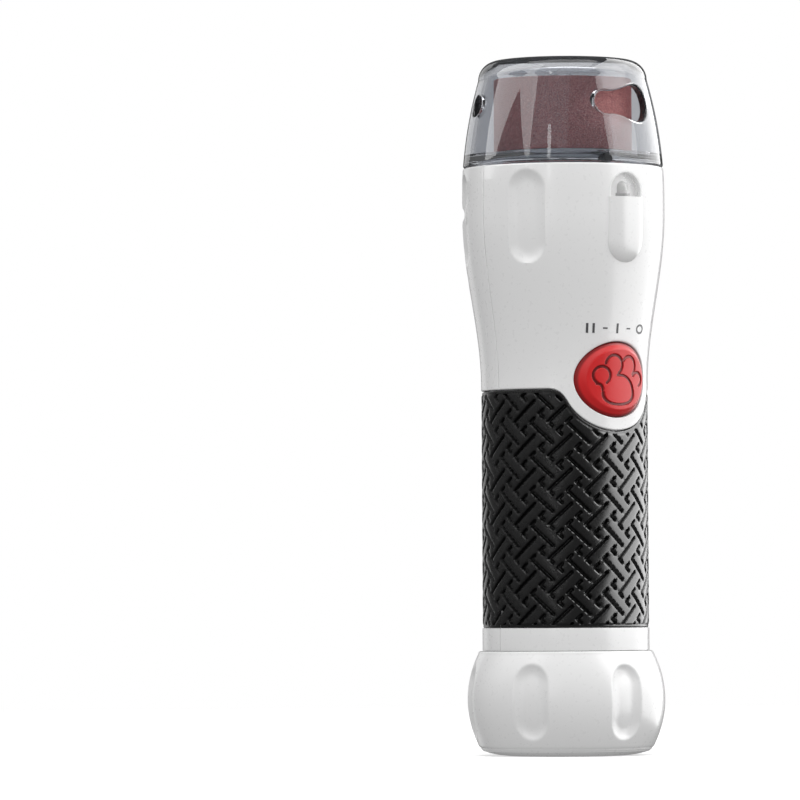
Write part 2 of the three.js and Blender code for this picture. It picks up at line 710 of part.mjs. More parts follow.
const motorWire = (side) => tubeThrough([
  [side * 5, -14.1, 101.5],
  [side * 5.6, -14.3, 105.5],
  [side * 7.6, -11, 109.2],
  [side * 8.4, -4, 110.4],
  [side * 8, -1, 110.8],
], 0.5, 8, 4);

const lampWire = (side) => tubeThrough([
  [side * 1, -14.8, 104.4],
  [side * 1.4, -15.8, 112],
  [side * 1.2, -17.5, 121],
  [side * 1, -19.8, 127],
  [side * 0.9, -21.1, LAMP_Z - 0.5],
], 0.35, 9, 4);

// ---------------------------------------------------------------- assembly

const trimmer = new THREE.Group();

function place(name, body, material) {
  const mesh = new THREE.Mesh(toGeometry(body), material);
  mesh.name = name;
  trimmer.add(mesh);
}

const sides = { left: -1, right: 1 };
const housing = wholeHousing();

place("front_shell", frontShell(housing), WHITE);
place("rear_shell", rearShell(housing), WHITE);
place("grip_sleeve", gripSleeve(), GRIP_BLACK);
place("lamp_lens", lampLens(), LENS_CLEAR);
place("lamp", lamp(), LAMP_WHITE);
screwPlaces.forEach(([x, z], i) => place(`housing_screw_${i + 1}`, housingScrew(x, z), STEEL));

place("push_button", pushButton(), BUTTON_RED);
place("switch_body", switchBody(), DRUM_BLACK);
place("switch_plunger", switchPlunger(), WIRE_WHITE);
place("control_board", controlBoard(), BOARD_GREEN);

place("cell_lower", cell(CELL_BOTTOM_Z), CELL_BLUE);
place("cell_upper", cell(CELL_BOTTOM_Z + CELL_LENGTH + 0.1), CELL_BLUE);
place("cell_cradle", cellCradle(), WIRE_WHITE);
place("contact_strip", contactStrip(), BRASS);
place("top_contact", topContact(), BRASS);
place("contact_disc", contactDisc(), BRASS);
place("base_spring", baseSpring(), STEEL);

place("base_cap", baseCap(), WHITE);
place("cap_seal", capSeal(), SEAL_GREY);

place("motor_can", motorCan(), STEEL);
place("motor_end_cap", motorEndCap(), DRUM_BLACK);
place("motor_front_bush", frontBush(), BRASS);
place("motor_rear_bush", rearBush(), BRASS);
place("motor_shaft", motorShaft(), STEEL);
place("motor_armature", armature(), COPPER);
place("motor_commutator", commutator(), COPPER);
for (const [name, side] of Object.entries(sides)) {
  place(`motor_magnet_${name}`, fieldMagnet(side), MAGNET_GREY);
  place(`motor_terminal_${name}`, motorTerminal(side), BRASS);
  place(`motor_screw_${name}`, motorScrew(side), STEEL);
  place(`motor_wire_${name}`, motorWire(side), side < 0 ? WIRE_RED : DRUM_BLACK);
  place(`lamp_wire_${name}`, lampWire(side), WIRE_WHITE);
}

place("drum_deck", deck(), WHITE);
place("guard_key", guardKey(), DRUM_BLACK);
place("drum_hub", drumHub(), DRUM_BLACK);
place("sanding_band", sandingBand(), GRIT_BROWN);
place("drum_screw", drumScrew(), STEEL);
place("guard", guard(), SMOKE_CLEAR);

export default trimmer;
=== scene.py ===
import json

import bpy
import numpy as np
from mathutils import Matrix, Vector

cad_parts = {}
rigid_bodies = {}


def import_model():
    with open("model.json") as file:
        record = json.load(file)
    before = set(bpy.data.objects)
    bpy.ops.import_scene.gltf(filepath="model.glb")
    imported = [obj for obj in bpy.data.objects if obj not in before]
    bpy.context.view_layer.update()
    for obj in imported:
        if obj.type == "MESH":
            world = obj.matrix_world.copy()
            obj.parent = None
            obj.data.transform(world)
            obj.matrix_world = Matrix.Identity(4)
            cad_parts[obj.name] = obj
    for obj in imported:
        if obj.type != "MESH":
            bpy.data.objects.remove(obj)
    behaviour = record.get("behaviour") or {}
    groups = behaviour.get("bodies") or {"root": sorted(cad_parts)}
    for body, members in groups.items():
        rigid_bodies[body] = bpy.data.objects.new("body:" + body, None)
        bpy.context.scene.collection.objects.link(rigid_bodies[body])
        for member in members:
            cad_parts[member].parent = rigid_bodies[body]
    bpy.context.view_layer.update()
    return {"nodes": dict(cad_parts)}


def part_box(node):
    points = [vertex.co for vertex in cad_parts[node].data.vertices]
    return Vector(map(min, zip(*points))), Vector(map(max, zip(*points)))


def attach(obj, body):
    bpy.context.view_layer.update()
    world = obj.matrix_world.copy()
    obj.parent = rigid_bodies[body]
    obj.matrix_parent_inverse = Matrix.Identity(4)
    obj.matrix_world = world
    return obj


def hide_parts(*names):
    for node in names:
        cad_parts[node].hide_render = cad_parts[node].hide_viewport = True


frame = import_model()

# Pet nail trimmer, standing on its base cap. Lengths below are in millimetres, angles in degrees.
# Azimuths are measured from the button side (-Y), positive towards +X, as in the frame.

MM = 0.001


def box_mm(node):
    low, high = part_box(node)
    return np.array(low) / MM, np.array(high) / MM


def linked(name, data):
    """A new object in the scene that shows the data."""
    made = bpy.data.objects.new(name, data)
    bpy.context.scene.collection.objects.link(made)
    return made


# ---------------------------------------------------------------- sizes from the frame

GUARD_LOW, GUARD_HIGH = box_mm("guard")
SHELL_LOW, SHELL_HIGH = box_mm("rear_shell")
GRIP_LOW, GRIP_HIGH = box_mm("grip_sleeve")
CAP_HIGH = box_mm("base_cap")[1]
BUTTON_LOW, BUTTON_HIGH = box_mm("push_button")
LENS_LOW = box_mm("lamp_lens")[0]
BAND_LOW, BAND_HIGH = box_mm("sanding_band")
HUB_LOW, HUB_HIGH = box_mm("drum_hub")
DECK_LOW, DECK_HIGH = box_mm("drum_deck")
LED_LOW, LED_HIGH = box_mm("lamp")
SEAL_LOW, SEAL_HIGH = box_mm("cap_seal")

SKIRT_BOTTOM, GUARD_TOP = GUARD_LOW[2], GUARD_HIGH[2]
SPIGOT_BOTTOM, HOUSING_TOP, HEAD_R = SHELL_LOW[2], SHELL_HIGH[2], SHELL_HIGH[0]
GRIP_BOTTOM, GRIP_TOP, BARREL_R = GRIP_LOW[2], GRIP_HIGH[2], GRIP_HIGH[0]
CAP_TOP, CAP_R = CAP_HIGH[2], CAP_HIGH[0]
BUTTON_DROP = 0.3  # the button's middle lies this far below the middle of its box
BUTTON_Z = (BUTTON_LOW[2] + BUTTON_HIGH[2]) / 2 - BUTTON_DROP
LENS_BOTTOM = LENS_LOW[2]
POD_PROUD = -LENS_LOW[1] - HEAD_R
BAND_BOTTOM, BAND_TOP, BAND_R = BAND_LOW[2], BAND_HIGH[2], BAND_HIGH[0]
HUB_BOTTOM, HUB_TOP, HUB_FOOT_R = HUB_LOW[2], HUB_HIGH[2], HUB_HIGH[0]
DECK_BOTTOM, DECK_TOP = DECK_LOW[2], DECK_HIGH[2]

# ---------------------------------------------------------------- sizes of the design

WALL = 2.2
FLARE_START, FLARE_END = 88, 128
TAPER_START, TAPER = 132, 0.005
NECK_BOTTOM, NECK_TOP = CAP_TOP + 0.08, GRIP_BOTTOM - 0.05
SPIGOT_R, BORE_R, CORE_R = 18.5, 16.1, 17.9
SHELL_STEP = GRIP_TOP + 0.3

BUTTON_OVAL = (10.4, 8.8)
BUTTON_SKIRT_R = 18.3
SURROUND_OVAL = (13.9, 11.9)
NOTCH_BLEND = 3.2  # rounding of the two corners where the surround meets the level edge
BUTTON_GAP = 0.14

HEAD_DIMPLE = dict(z=126.9, width=9.4, height=22.0, depth=1.2, wall=HEAD_R)
CAP_DIMPLE = dict(z=12.9, width=8.8, height=17.8, depth=1.3, wall=CAP_R)
DIMPLE_AZIMUTHS = (0, 60, 120, 180, 240, 300)
DIMPLE_SLOPE = 3.0

POD_Z, POD_HALF_WIDTH, POD_HALF_HEIGHT, POD_POWER = 126.9, 5.25, 11.0, 2.8
MOUTH_HALF_WIDTH = POD_HALF_WIDTH - 0.8
POD_ROOT = 4.6  # how deep the pod reaches below the wall's surface
LENS_WALL = 1.2

SCREW_PLACES = [(x, z) for x in (-16, 16) for z in (113.5, 128.6)]
SCREW_HEAD_HEIGHT = 1.8
POCKET_R, POCKET_Y = 2.6, 6.0
DRUM_SCREW_SEAT = 160.5

PORT_Z = 153.9
PORT_SMALL_X, PORT_SMALL_R = -3.9, 2.7
PORT_LARGE_X, PORT_LARGE_R = 5.4, 4.5
PORT_WIDENS = (-2.5, 6.2)
SIDE_PORT_AZIMUTH, SIDE_PORT_R = -108, 2.4

WEAVE_ROUND = 14
WEAVE_RISE = 8.05
WEAVE_CORNER_AZIMUTH, WEAVE_CORNER_Z = -11.3, 62.55
WEAVE_GROOVE, WEAVE_GROOVE_WALL = 0.7, 0.28
WEAVE_DEPTH, WEAVE_CROWN, WEAVE_CROWN_WIDTH = 0.9, 0.14, 1.3
WEAVE_CUT = 0.55  # squares by which a groove stops short of the next block
GRIP_BORE_R, GRIP_GAP = 18.25, 0.25
GRIP_COLUMNS, GRIP_ROW_STEP = 44, 0.23  # columns for each period of the weave, and millimetres for each row

# ---------------------------------------------------------------- camera

CAMERA_AZIMUTH = -38.5
CAMERA_DISTANCE = 1521
CAMERA_HEIGHT = 37.1
AIM_LEFT, AIM_Z = 39.1, 84.6
CAMERA_ROLL = 0.33
LENS_MM = 288


def compass(azimuth):
    """The level direction at an azimuth."""
    a = np.radians(azimuth)
    return Vector((np.sin(a), -np.cos(a), 0))


def make_camera():
    data = bpy.data.cameras.new("camera")
    data.lens = LENS_MM
    data.sensor_width = 36
    data.clip_start, data.clip_end = 0.05, 50
    camera = linked("camera", data)
    place = compass(CAMERA_AZIMUTH) * CAMERA_DISTANCE + Vector((0, 0, CAMERA_HEIGHT))
    right = compass(CAMERA_AZIMUTH + 90)
    aim = Vector((0, 0, AIM_Z)) - right * AIM_LEFT
    camera.location = place * MM
    turn = (aim - place).to_track_quat("-Z", "Y").to_matrix().to_4x4()
    turn = turn @ Matrix.Rotation(np.radians(-CAMERA_ROLL), 4, "Z")
    camera.rotation_euler = turn.to_euler()
    bpy.context.scene.camera = camera


make_camera()

# ---------------------------------------------------------------- materials


class Nodes:
    """A material's node tree, with short calls to add and join nodes."""

    def __init__(self, name):
        self.material = bpy.data.materials.new(name)
        self.material.use_nodes = True
        self.tree = self.material.node_tree
        self.tree.nodes.clear()
        self.output = self.tree.nodes.new("ShaderNodeOutputMaterial")
        self.shader = self.add("ShaderNodeBsdfPrincipled")
        self.join(self.shader, "BSDF", self.output, "Surface")
        self.place = self.add("ShaderNodeTexCoord")

    def add(self, kind, **settings):
        node = self.tree.nodes.new(kind)
        for key, value in settings.items():
            if hasattr(node, key):
                setattr(node, key, value)
            else:
                node.inputs[key.replace("_", " ")].default_value = value
        return node

    def join(self, a, out, b, into):
        self.tree.links.new(a.outputs[out], b.inputs[into])

    def set(self, **values):
        for key, value in values.items():
            self.shader.inputs[key.replace("_", " ")].default_value = value

    def noise(self, scale, detail=2.0, roughness=0.5):
        node = self.add("ShaderNodeTexNoise", Scale=scale, Detail=detail, Roughness=roughness)
        self.join(self.place, "Object", node, "Vector")
        return node

    def grade(self, source, out, stops, into=None):
        """A colour ramp over a source value: stops are (position, colour or grey). It may drive a socket of
        the shader."""
        ramp = self.add("ShaderNodeValToRGB")
        elements = ramp.color_ramp.elements
        while len(elements) < len(stops):
            elements.new(0.5)
        for element, (position, colour) in zip(elements, stops):
            element.position = position
            grey = isinstance(colour, (int, float))
            element.color = (colour, colour, colour, 1) if grey else (*colour, 1)
        self.join(source, out, ramp, "Fac")
        if into is not None:
            self.join(ramp, "Color", self.shader, into)
        return ramp

    def vary(self, noise, low, high, into):
        """Runs a socket of the shader from low to high over the middle of a noise."""
        self.grade(noise, "Fac", [(0.3, low), (0.7, high)], into)

    def bump(self, source, out, height, below=None):
        """A bump of that height in millimetres, over an earlier bump where one is given."""
        node = self.add("ShaderNodeBump", Strength=1.0, Distance=height * MM)
        self.join(source, out, node, "Height")
        if below is not None:
            self.join(below, "Normal", node, "Normal")
        self.join(node, "Normal", self.shader, "Normal")
        return node


GLOSS_SPREAD = 0.03


def plastic(name, colour, roughness, coat=0.0, texture=0.004, variation=0.04):
    """Moulded plastic: slight unevenness in colour and gloss, and a fine skin."""
    nodes = Nodes(name)
    nodes.set(Coat_Weight=coat, Coat_Roughness=0.08, IOR=1.5)
    nodes.vary(nodes.noise(900), tuple(c * (1 - variation) for c in colour), colour, "Base Color")
    low, high = roughness * (1 - GLOSS_SPREAD), roughness * (1 + GLOSS_SPREAD)
    nodes.vary(nodes.noise(1100), low, high, "Roughness")
    nodes.bump(nodes.noise(1400), "Fac", texture)
    return nodes.material


def metal(name, colour, roughness, streak=(300, 300, 300)):
    """Turned or rolled metal with fine streaks along its work direction."""
    nodes = Nodes(name)
    nodes.set(Metallic=1.0)
    stretch = nodes.add("ShaderNodeMapping")
    stretch.inputs["Scale"].default_value = streak
    nodes.join(nodes.place, "Object", stretch, "Vector")
    grain = nodes.add("ShaderNodeTexNoise", Scale=6.0, Detail=3.0)
    nodes.join(stretch, "Vector", grain, "Vector")
    nodes.vary(grain, tuple(c * 0.82 for c in colour), colour, "Base Color")
    nodes.vary(grain, roughness * 0.7, roughness * 1.3, "Roughness")
    nodes.bump(grain, "Fac", 0.004)
    return nodes.material


def grooved(name, ior, face, groove, gloss, texture):
    """Rubber or plastic with painted shade: a darker second colour laid wherever the groove attribute rises,
    in grooves and other hollows. gloss is (scale, low, high) and texture is (scale, height)."""
    nodes = Nodes(name)
    nodes.set(IOR=ior)
    depth = nodes.add("ShaderNodeAttribute", attribute_name="groove")
    # painted shade: the base colour runs from the face colour to the darker groove colour
    nodes.grade(depth, "Fac", [(0.0, face), (1.0, groove)], "Base Color")
    nodes.vary(nodes.noise(gloss[0]), gloss[1], gloss[2], "Roughness")
    nodes.bump(nodes.noise(texture[0]), "Fac", texture[1])
    return nodes.material


def abrasive(name):
    """Brown-red grit on a cloth band: dark and light grains over a mottled ground."""
    nodes = Nodes(name)
    nodes.set(IOR=1.55)
    grains = nodes.add("ShaderNodeTexVoronoi", Scale=3800.0)
    nodes.join(nodes.place, "Object", grains, "Vector")
    stops = [(0.0, (0.80, 0.36, 0.33)), (0.35, (0.46, 0.15, 0.145)), (0.8, (0.22, 0.062, 0.065))]
    ramp = nodes.grade(grains, "Distance", stops)
    speck = nodes.grade(nodes.noise(4200, 2, 0.6), "Fac", [(0.62, 0.0), (0.72, 1.0)])
    blend = nodes.add("ShaderNodeMixRGB", Color2=(0.80, 0.55, 0.53, 1))
    nodes.join(speck, "Color", blend, "Fac")
    nodes.join(ramp, "Color", blend, "Color1")
    nodes.join(blend, "Color", nodes.shader, "Base Color")
    nodes.set(Roughness=0.82)
    coarse = nodes.bump(grains, "Distance", 0.12)
    nodes.bump(nodes.noise(1500, 3), "Fac", 0.08, below=coarse)
    return nodes.material


def clear(name, colour, roughness, wave_scale, shader):
    """Clear moulded plastic with a slight haze and flow waviness."""
    nodes = Nodes(name)
    nodes.set(Roughness=roughness, Base_Color=(*colour, 1), **shader)
    nodes.bump(nodes.noise(wave_scale, 1), "Fac", 0.006)
    return nodes.material


def lamp_resin(name):
    """Grey resin whose colour carries painted shade: darkest at the foot and paler towards the domed top."""
    nodes = Nodes(name)
    split = nodes.add("ShaderNodeSeparateXYZ")
    nodes.join(nodes.place, "Object", split, "Vector")
    span = nodes.add("ShaderNodeMapRange")
    span.inputs["From Min"].default_value = LED_LOW[2] * MM
    span.inputs["From Max"].default_value = LED_HIGH[2] * MM
    nodes.join(split, "Z", span, "Value")
    # painted shade: the base colour darkens from the domed top down to the foot
    nodes.grade(span, "Result", [(0.0, 0.18), (0.14, 0.2), (0.22, 0.4), (1.0, 0.5)], "Base Color")
    nodes.set(Roughness=0.12, Coat_Weight=0.6)
    nodes.bump(nodes.noise(900, 1), "Fac", 0.004)
    return nodes.material


def board(name):
    """A green circuit board with paler tracks."""
    nodes = Nodes(name)
    tracks = nodes.add("ShaderNodeTexBrick", Scale=180.0)
    nodes.join(nodes.place, "Object", tracks, "Vector")
    tracks.inputs["Color1"].default_value = (0.012, 0.09, 0.035, 1)
    tracks.inputs["Color2"].default_value = (0.015, 0.11, 0.042, 1)
    tracks.inputs["Mortar"].default_value = (0.03, 0.2, 0.08, 1)
    nodes.join(tracks, "Color", nodes.shader, "Base Color")
    nodes.vary(nodes.noise(300), 0.3, 0.45, "Roughness")
    return nodes.material


# What makes each look, with what it is given. After its roughness, a plastic may state its coat, the height
# of its skin and the variation of its colour, and a metal the scale of its streaks along each axis.
LOOKS = (
    (plastic, "white_plastic", (0.80, 0.80, 0.80), 0.28, 0.2, 0.0005, 0.002),
    (plastic, "black_plastic", (0.02, 0.02, 0.022), 0.4),
    (plastic, "natural_plastic", (0.62, 0.61, 0.56), 0.4),
    (plastic, "deck_plastic", (0.64, 0.68, 0.72), 0.35),
    (plastic, "mark_ink", (0.06, 0.06, 0.065), 0.5),
    (plastic, "cell_jacket", (0.03, 0.06, 0.16), 0.3, 0.4),
    (plastic, "seal_rubber", (0.03, 0.031, 0.034), 0.6, 0.0, 0.01),
    (plastic, "magnet", (0.05, 0.05, 0.052), 0.6, 0.0, 0.02),
    (plastic, "wire_red", (0.45, 0.02, 0.02), 0.4),
    (plastic, "wire_black", (0.02, 0.02, 0.02), 0.4),
    (metal, "steel", (0.56, 0.56, 0.57), 0.28),
    (metal, "brass", (0.72, 0.52, 0.22), 0.3),
    (metal, "motor_steel", (0.5, 0.51, 0.53), 0.32, (60, 60, 900)),
    (metal, "armature_iron", (0.32, 0.31, 0.3), 0.45, (60, 60, 1500)),
    (metal, "copper", (0.72, 0.32, 0.16), 0.3, (60, 60, 1800)),
    # the darker second colours of grip_rubber and button_red are painted shade, laid into grooves, rims and
    # hidden faces
    (grooved, "grip_rubber", 1.7, (0.004, 0.004, 0.0042), (0.0008, 0.0008, 0.0008), (900, 0.26, 0.32),
     (2600, 0.005)),
    (grooved, "button_red", 1.4, (0.60, 0.012, 0.014), (0.15, 0.002, 0.003), (300, 0.3, 0.38), (1600, 0.006)),
    (clear, "smoke_clear", (0.61, 0.625, 0.66), 0.03, 25, dict(Transmission_Weight=0.98, IOR=1.49)),
    (clear, "clear_lens", (0.9, 0.9, 0.9), 0.06, 60, dict(Alpha=0.12, IOR=1.5)),
    (lamp_resin, "lamp_resin"),
    (board, "board_green"),
    (abrasive, "abrasive"),
)
MATERIALS = {name: make(name, *look) for make, name, *look in LOOKS}

# ---------------------------------------------------------------- mesh helpers


def piece(name, slot, body, forms, replaces=(), smooth=32, material=None, **values):
    """One piece from several closed forms, each given as its points in millimetres and its faces. values are
    named numbers, one for each point."""
    points, faces = [], []
    for form_points, form_faces in forms:
        start = len(points)
        points.extend(np.asarray(form_points, float))
        faces.extend(tuple(i + start for i in face) for face in form_faces)
    mesh = bpy.data.meshes.new(name)
    mesh.from_pydata((np.array(points) * MM).tolist(), [], faces)
    for key, value in values.items():
        mesh.attributes.new(key, "FLOAT", "POINT").data.foreach_set("value", np.asarray(value, np.float32))
    mesh.validate()
    mesh.polygons.foreach_set("use_smooth", [True] * len(mesh.polygons))
    mesh.set_sharp_from_angle(angle=np.radians(smooth))
    mesh.materials.append(MATERIALS[material or slot])
    made = linked(name, mesh)
    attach(made, body)
    if replaces:
        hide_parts(*replaces)


def on_wall(azimuth, radius, z):
    a = np.radians(azimuth)
    return np.stack([radius * np.sin(a), -radius * np.cos(a), np.broadcast_to(z, np.shape(a))], -1)


STRAIGHT_ANGLE = 172  # corners flatter than this stay as they are
LONGEST_RUN = 0.45  # share of a side that one corner's rounding may take


def filleted(points, radius, steps=4, closed=False):
    """An (r, z) outline with its corners rounded, as far as the sides allow."""
    points = [np.array(p, float) for p in points]
    count = len(points)
    out = []
    for k, point in enumerate(points):
        if not closed and k in (0, count - 1):
            out.append(point)
            continue
        before, after = points[k - 1] - point, points[(k + 1) % count] - point
        length_a, length_b = np.linalg.norm(before), np.linalg.norm(after)
        before, after = before / length_a, after / length_b
        corner = np.arccos(np.clip(before @ after, -1, 1))
        if corner > np.radians(STRAIGHT_ANGLE):
            out.append(point)
            continue
        run = min(radius / np.tan(corner / 2), LONGEST_RUN * length_a, LONGEST_RUN * length_b)
        start, end = point + before * run, point + after * run
        for t in np.linspace(0, 1, steps + 1):
            out.append((1 - t) ** 2 * start + 2 * t * (1 - t) * point + t ** 2 * end)
    return out


def oblong(inner_r, outer_r, low, high):
    return [(inner_r, low), (outer_r, low), (outer_r, high), (inner_r, high)]


def skin(rows, inward=False):
    """Faces between rows of vertex numbers that each run round a ring. A vertex that repeats counts once."""
    faces = []
    for low, high in zip(rows, rows[1:]):
        for k in range(len(low)):
            m = (k + 1) % len(low)
            face = [low[k], high[k], high[m], low[m]] if inward else [low[k], low[m], high[m], high[k]]
            face = [v for n, v in enumerate(face) if v != face[n - 1]]
            if len(face) > 2:
                faces.append(tuple(face))
    return faces


def looped(rings, inward=False):
    """Points and faces of a hollow form through rings of points, the last ring joined to the first."""
    rows = np.arange(len(rings) * len(rings[0])).reshape(len(rings), -1).tolist()
    return np.vstack(rings), skin(rows + rows[:1], inward)


def turned(outline, segments=96, closed=False, centre=(0, 0), shape=None):
    """Points and faces of a turned form. An open outline starts and ends on the axis; shape(azimuth, r, z)
    may change the radii."""
    azimuths = np.arange(segments) * 360 / segments
    rows, points = [], []
    for r, z in np.array(outline, float):
        if r < 1e-6:
            rows.append([len(points)] * segments)
            points.append((centre[0], centre[1], z))
            continue
        radius = np.full(segments, r) if shape is None else shape(azimuths, np.full(segments, r), z)
        start = len(points)
        ring = on_wall(azimuths, radius, z) + np.array([centre[0], centre[1], 0])
        points.extend(map(tuple, ring))
        rows.append(list(range(start, start + segments)))
    return points, skin(rows + rows[:1] if closed else rows)


def smooth_min(a, b, width):
    """The smaller of two values, eased over the width where they are close."""
    h = np.clip(0.5 + 0.5 * (b - a) / width, 0, 1)
    return b * (1 - h) + a * h - width * h * (1 - h)


class Sheet:
    """A grid of places (azimuth, level) whose cells may give way to holes, each ringed by its own cells."""

    def __init__(self, azimuths, levels, closed=False):
        self.azimuths = list(azimuths)
        self.levels = list(levels)
        self.closed = closed
        self.columns = len(self.azimuths)
        self.places = []
        self.inner = []
        self.faces = []
        self.ids = {}
        self.taken = set()

    def vertex(self, i, j):
        key = (i % self.columns if self.closed else i, j)
        if key not in self.ids:
            self.ids[key] = self.loose(self.azimuths[key[0]], self.levels[j])
        return self.ids[key]

    def loose(self, azimuth, level, inner=None):
        self.places.append((azimuth, level))
        self.inner.append(azimuth if inner is None else inner)
        return len(self.places) - 1

    def nearest(self, azimuth):
        return int(np.argmin(np.abs(np.array(self.azimuths) - azimuth)))

    def level(self, z):
        return int(np.argmin(np.abs(np.array(self.levels) - z)))

    def hole(self, azimuth, middle, z, block, half, outline, rings, bottom=None):
        """Opens an outline drilled straight through along one azimuth. middle and z are the outline's middle,
        across that azimuth and up; block is (left, right, low, high) about it; half is the outline's half
        width and height; outline(angles) gives (across, z); bottom may replace the block's low side."""
        radius = float(body_radius(z))
        i0 = self.nearest(azimuth + np.degrees((middle + block[0]) / radius))
        i1 = self.nearest(azimuth + np.degrees((middle + block[1]) / radius))
        j0, j1 = self.level(z + block[2]), self.level(z + block[3])
        self.taken.update((i, j) for i in range(i0, i1) for j in range(j0, j1))
        if bottom is None:
            loop = [self.vertex(i, j0) for i in range(i0, i1)]
        else:
            loop = [self.vertex(i0, j0)] + [self.loose(*place) for place in bottom]
        loop += [self.vertex(i1, j) for j in range(j0, j1)]
        loop += [self.vertex(i, j1) for i in range(i1, i0, -1)]
        loop += [self.vertex(i0, j) for j in range(j1, j0, -1)]
        edge = np.array([self.places[v] for v in loop])
        across = np.radians(edge[:, 0] - azimuth) * radius - middle
        x, height = outline(np.arctan2((edge[:, 1] - z) / half[1], across / half[0]))
        rim_outer = azimuth + np.degrees(np.arcsin(x / body_radius(height)))
        rim_inner = azimuth + np.degrees(np.arcsin(x / wall_radius(height)))
        previous = loop
        for ring in range(1, rings + 1):
            t = ring / rings
            level = edge[:, 1] * (1 - t) + height * t
            outer = edge[:, 0] * (1 - t) + rim_outer * t
            inner = edge[:, 0] * (1 - t) + rim_inner * t
            current = [self.loose(*place) for place in zip(outer, level, inner)]
            for k in range(len(loop)):
                m = (k + 1) % len(loop)
                self.faces.append((previous[k], previous[m], current[m], current[k]))
            previous = current

    def pole(self, level):
        """Closes the last row with a fan."""
        middle = self.loose(0, level)
        last = len(self.levels) - 1
        for i in range(self.columns):
            self.faces.append((self.vertex(i, last), self.vertex(i + 1, last), middle))

    def fill(self):
        across = self.columns if self.closed else self.columns - 1
        for j in range(len(self.levels) - 1):
            for i in range(across):
                if (i, j) not in self.taken:
                    self.faces.append((self.vertex(i, j), self.vertex(i + 1, j),
                                       self.vertex(i + 1, j + 1), self.vertex(i, j + 1)))


def thick(sheet, outer, inner, rim, steps=3):
    """A closed wall from a sheet: outer and inner give 3D points for (azimuth, level), and rim gives the
    radius that rounds the outer edge at each place."""
    places = np.array(sheet.places)
    top = outer(places[:, 0], places[:, 1])
    under = inner(np.array(sheet.inner), places[:, 1])
    count = len(places)
    once = {}  # the open edges: each side of a face that no neighbour runs the other way
    for face in sheet.faces:
        for a, b in zip(face, face[1:] + face[:1]):
            if once.pop((b, a), None) is None:
                once[(a, b)] = True
    normals = np.zeros_like(top)
    corners = np.array([face if len(face) == 4 else (*face, face[-1]) for face in sheet.faces])
    tilt = np.cross(top[corners[:, 2]] - top[corners[:, 0]], top[corners[:, 3]] - top[corners[:, 1]])
    for corner in range(4):
        np.add.at(normals, corners[:, corner], tilt)
    normals /= np.linalg.norm(normals, axis=1)[:, None]
    away = np.zeros_like(top)
    for a, b in once:
        along = top[b] - top[a]
        along /= np.linalg.norm(along)
        for v in (a, b):
            away[v] += np.cross(along, normals[v])
    edge = sorted({v for pair in once for v in pair})
    for v in edge:
        away[v] /= np.linalg.norm(away[v])
    rounding = rim(places[:, 0], places[:, 1])
    points = top.copy()
    rings = [{v: v for v in edge}]
    extra = []
    for step in range(1, steps + 1):
        bend = np.pi / 2 * step / steps
        ring = {}
        for v in edge:
            r = rounding[v]
            ring[v] = count + len(extra)
            extra.append(top[v] - r * (1 - np.sin(bend)) * away[v] - r * (1 - np.cos(bend)) * normals[v])
        rings.append(ring)
    for v in edge:
        points[v] = top[v] - rounding[v] * away[v]
    start = count + len(extra)
    faces = list(sheet.faces)
    faces += [tuple(start + v for v in reversed(face)) for face in sheet.faces]
    rings.append({v: start + v for v in edge})
    for low, high in zip(rings, rings[1:]):
        faces += [(low[b], low[a], high[a], high[b]) for a, b in once]
    everything = [points, np.array(extra).reshape(-1, 3), under]
    return np.vstack(everything), faces


def spread(low, high, step):
    """Even places from low to high, about a step apart."""
    return np.linspace(low, high, max(2, int(round((high - low) / step)) + 1))


# ---------------------------------------------------------------- the outer form


def body_radius(z):
    """Outer radius of the housing and the guard at a height."""
    z = np.asarray(z, float)
    t = np.clip((z - FLARE_START) / (FLARE_END - FLARE_START), 0, 1)
    flare = BARREL_R + (HEAD_R - BARREL_R) * t * t * (3 - 2 * t)
    return flare - TAPER * np.clip(z - TAPER_START, 0, None) ** 2


def wall_radius(z):
    return body_radius(z) - WALL


def dish(azimuth, z, centre, dimple):
    """Depth of a round-ended dish pressed into a wall: sloping sides round a nearly flat floor."""
    half = dimple["width"] / 2
    across = np.radians((azimuth - centre + 180) % 360 - 180) * dimple["wall"]
    past = np.clip(np.abs(z - dimple["z"]) - (dimple["height"] / 2 - half), 0, None)
    share = np.clip((half - np.hypot(across, past)) / DIMPLE_SLOPE, 0, 1)
    return dimple["depth"] * (1 - (1 - share) ** 2)


def dimpled(radius, azimuth, z, dimple, skip_front):
    for centre in DIMPLE_AZIMUTHS:
        if centre == 0 and skip_front:
            continue
        radius = radius - dish(azimuth, z, centre, dimple)
    return radius


def head_point(azimuth, z):
    radius = dimpled(body_radius(z), azimuth, z, HEAD_DIMPLE, True)
    return on_wall(azimuth, radius, z)


def head_inside(azimuth, z):
    return on_wall(azimuth, wall_radius(z), z)


# ---------------------------------------------------------------- the grip's edge round the button


def grip_edge(across):
    """Height of the white edge above the grip at a distance along the wall from the middle."""
    a, b = SURROUND_OVAL
    across = np.asarray(across, float)
    heights = np.linspace(BUTTON_Z - b - 1, SHELL_STEP + 0.01, 800)
    to_oval = (np.hypot(across[..., None] / a, (heights - BUTTON_Z) / b) - 1) * b
    white = smooth_min(SHELL_STEP - heights, to_oval, NOTCH_BLEND) < 0
    return heights[np.argmax(white, axis=-1)]


def ellipse(half, grow):
    """The button's opening, as (across, height) at an angle."""
    return lambda angle: ((half[0] + grow) * np.cos(angle), BUTTON_Z + (half[1] + grow) * np.sin(angle))


def traced(shape, middle, z, half):
    """The outline where shape(x, z) turns positive, found along rays from its middle."""
    def outline(angles):
        reach = np.linspace(0, 2, 2001)
        x = middle + half[0] * np.cos(angles)[:, None] * reach
        height = z + half[1] * np.sin(angles)[:, None] * reach
        edge = np.argmax(shape(x, height) > 0, axis=1)
        rows = np.arange(len(angles))
        return x[rows, edge], height[rows, edge]
    return outline


